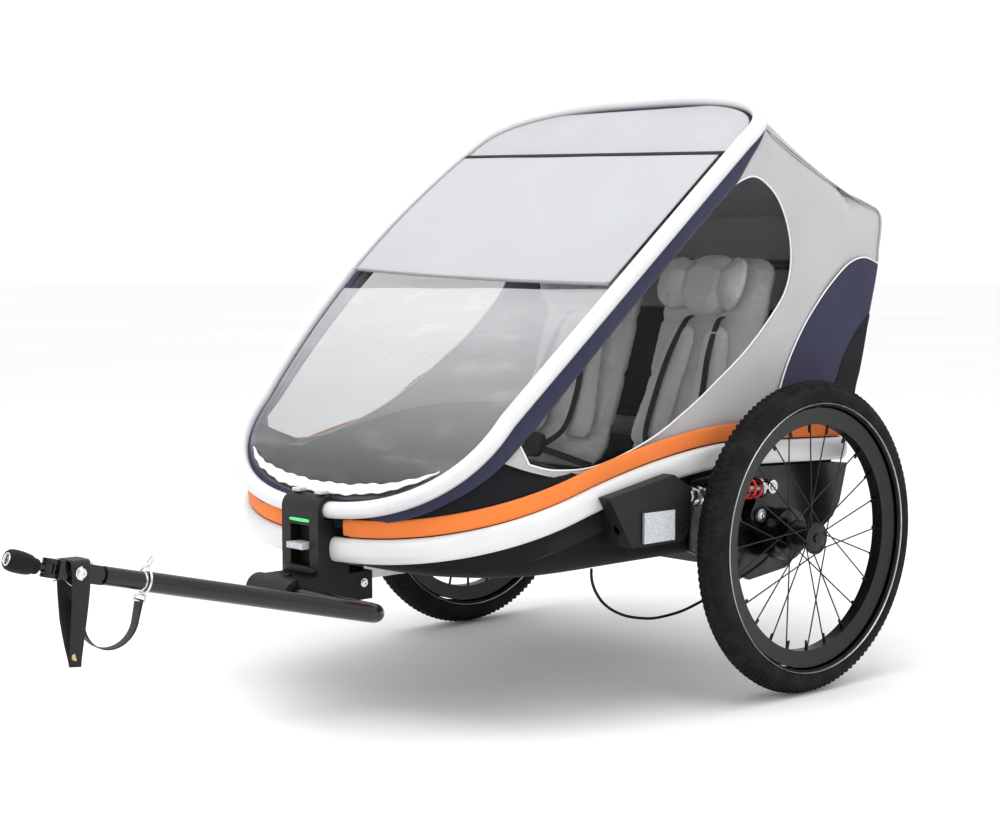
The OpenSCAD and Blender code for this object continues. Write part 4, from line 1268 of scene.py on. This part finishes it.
# Safety strap: webbing looped over the block, hanging straight down, with its loose run back to the ring
hang = onDrawbar([0, 509.5, 0])
front = [[-15.5, -30], [-16, -8], [-15.6, 12], [-8, 14.6], [8, 14.8], [18.6, 13.6], [20.5, 0], [19, -24],
         [13, -58],
         [6, -92], [2.2, -112], [1.6, -121]]
behind = [[-15.5, -30], [-11, -60], [-6, -92], [-1.2, -112], [-0.4, -121]]


def strapRun(name, xz, width, twist=0.0):
    xz = evenLine(smoothLine(xz, 200), 110)
    t = np.linspace(0, 1, 110)
    across = np.stack([np.sin(twist * t), np.cos(twist * t), 0 * t], 1)
    narrow = 1 - 0.42 * np.clip((t - 0.35) / 0.65, 0, 1)
    s = np.linspace(-0.5, 0.5, 7)[None, :, None] * width * narrow[:, None, None]
    centre = hang + np.stack([xz[:, 0], 0 * t, xz[:, 1]], 1)
    mesh = gridMesh(name, centre[:, None] + s * across[:, None], away=toFrame(hang + [0, 0, -20]))
    return piece(name, mesh, blackWebbing, "drawbar", thick=0.0015, thickOffset=1)


frontRun = strapRun("strapOver", front, 25, 0.5)
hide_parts("safety_strap")
strapRun("strapUnder", behind, 25, 0.5)
turned("strapEyelet", [[-2.6, 2.6], [-2.6, 5], [-1.8, 5.6], [1.8, 5.6], [2.6, 5], [2.6, 2.6]],
       hang + [1.6, 0, -108],
       [1, 0.1, 0], brassMetal, "drawbar", 32)
a = np.radians(np.linspace(180, 360, 50))
loop = np.stack([0 * a, 446 - 40 * np.cos(a), -52 + 40 * np.sin(a)], 1)
loop = np.vstack([[[0, 498, -34]], [[0, 490, -44]], loop, [[0, 406, -34]], [[0, 406, -23]]])
loop = evenLine(loop, 130)
across = np.stack([1 + 0 * loop[:, 0], 0.25 * np.sin(np.linspace(0, 3, 130)), 0 * loop[:, 0]], 1)
s = np.linspace(-0.5, 0.5, 7)[None, :, None] * 21
mesh = gridMesh("strapLoop", onDrawbar(loop[:, None] + s * across[:, None]),
                away=toFrame(onDrawbar([0, 446, -40])))
piece("strapLoop", mesh, blackWebbing, "drawbar", thick=0.0014)


def wireRing(name, line, radius, closed=True, up=forwardWay):
    mesh = gridMesh(name, sweep(line, ovalProfile(radius, radius, 10), up, closed), closed, True, not closed)
    piece(name, mesh, brightSteel, "drawbar")


a = np.linspace(0, 2 * np.pi, 72, endpoint=False)
wireRing("tubeRing", onDrawbar(np.stack([16.5 * np.cos(a), 404 + 0 * a, 1.5 + 17.5 * np.sin(a)], 1)), 1.7)
buckle = np.stack([np.clip(15 * np.cos(a), -12.5, 12.5), 406 + 0 * a,
                   -22 + np.clip(7 * np.sin(a), -3.6, 3.6)], 1)
wireRing("strapBuckle", onDrawbar(buckle), 1.6)
hook = [[0, 404, 18], [4, 402, 24], [3, 399, 31], [-3, 399, 31], [-5, 402, 24], [-1, 404, 19]]
wireRing("snapHook", onDrawbar(smoothLine(hook, 60)), 1.5, False, upZ)
print("drawbar fittings made")

# Brake cable: one loop from the floor to the drum
route = [[300, -376, 229.6], [299, -375, 218], [298, -371, 205], [298, -363, 190], [299, -350, 174],
         [301, -331, 160], [304, -307, 149], [307, -280, 142], [310, -250, 138], [313, -220, 139],
         [317, -190, 143], [321, -161, 151], [326, -133, 161], [332, -107, 173], [340, -83, 185],
         [349, -61, 197], [357, -43, 210], [361, -34, 219]]
cableLine = evenLine(smoothLine(route, 400), 160)
cableRings = sweep(cableLine, ovalProfile(2.2, 2.2, 12), [1.0, 0, 0])
cableMesh = gridMesh("brakeCable", cableRings, closeV=True, caps=True)
cable = piece("brakeCable", cableMesh, bootRubber, "chassis", ["brake_cable"])

cadFinish = {"spine_beam": brushedAlloy, "hoop_clips": greyPlastic, "hitch_neck": blackSteel}
brightParts = "arm_pivots shock_bodies shock_rod_l shock_rod_r axle_pin_l axle_pin_r hitch_pin"
finishGroups = ((blackPaint, "axle_beam rear_frame brake_drum_l brake_drum_r drawbar_tube"),
                (brightSteel, brightParts),
                (blackAlloy, "rim_l rim_r"),
                (blackSteel, "spokes_l spokes_r"),
                (blackNylon, "hub_l hub_r hub_button_l hub_button_r"))
for material, names in finishGroups:
    cadFinish.update(dict.fromkeys(names.split(), material))
for node, material in cadFinish.items():
    nodes[node].data.materials.clear()
    nodes[node].data.materials.append(material)
unfinished = [n for n, o in nodes.items() if not o.hide_render and n not in cadFinish]
print("CAD nodes finished, left over:", unfinished)


# Camera, floor and light

camera = bpy.data.objects.new("camera", bpy.data.cameras.new("camera"))
bpy.context.scene.collection.objects.link(camera)
camera.location = (2.40025, -2.46438 + axleY, 0.71949)
camera.rotation_euler = (math.pi / 2 - 0.104, 0, 0.825)
camera.data.sensor_width = 36
camera.data.lens = 70.7
camera.data.shift_x = -0.020
camera.data.shift_y = 0.0392
bpy.context.scene.camera = camera

floorMesh = bpy.data.meshes.new("floor")
floorMesh.from_pydata([(-30, -30, 0), (30, -30, 0), (30, 30, 0), (-30, 30, 0)], [], [(0, 1, 2, 3)])
floor = bpy.data.objects.new("floor", floorMesh)
bpy.context.scene.collection.objects.link(floor)
floorPaint, floorTree, floorShader = startMaterial("floorPaint", (0.92, 0.92, 0.92), 0.7)
floorTree.links.new(rampOf(floorTree, noiseOf(floorTree, coordsOf(floorTree, "Object"), 0.6),
                           (0.9, 0.9, 0.9),
                           (0.93, 0.93, 0.93)), floorShader.inputs["Base Color"])
floorMesh.materials.append(floorPaint)

world = bpy.data.worlds.new("studio")
bpy.context.scene.world = world
world.use_nodes = True
world.node_tree.nodes["Background"].inputs["Color"].default_value = (1.0, 1.0, 1.0, 1)
world.node_tree.nodes["Background"].inputs["Strength"].default_value = 0.88


def softLight(name, place, aim, size, watts):
    data = bpy.data.lights.new(name, "AREA")
    data.shape = "RECTANGLE"
    data.size, data.size_y = size
    data.energy = watts
    light = bpy.data.objects.new(name, data)
    bpy.context.scene.collection.objects.link(light)
    light.location = place
    light.rotation_euler = (Vector(aim) - Vector(place)).to_track_quat("-Z", "Y").to_euler()
    return light


softLight("topBox", (0.3, -0.4, 3.2), (0, 0.1, 0.3), (3.0, 2.6), 48)
softLight("frontBox", (-0.6, -3.6, 2.2), (0, 0, 0.5), (2.4, 1.8), 18)
softLight("sideBox", (3.2, 0.6, 1.8), (0, 0.3, 0.5), (2.0, 1.8), 12)
bpy.context.scene.view_settings.view_transform = "Standard"
bpy.context.scene.view_settings.look = "Medium High Contrast"
print("camera and light set")
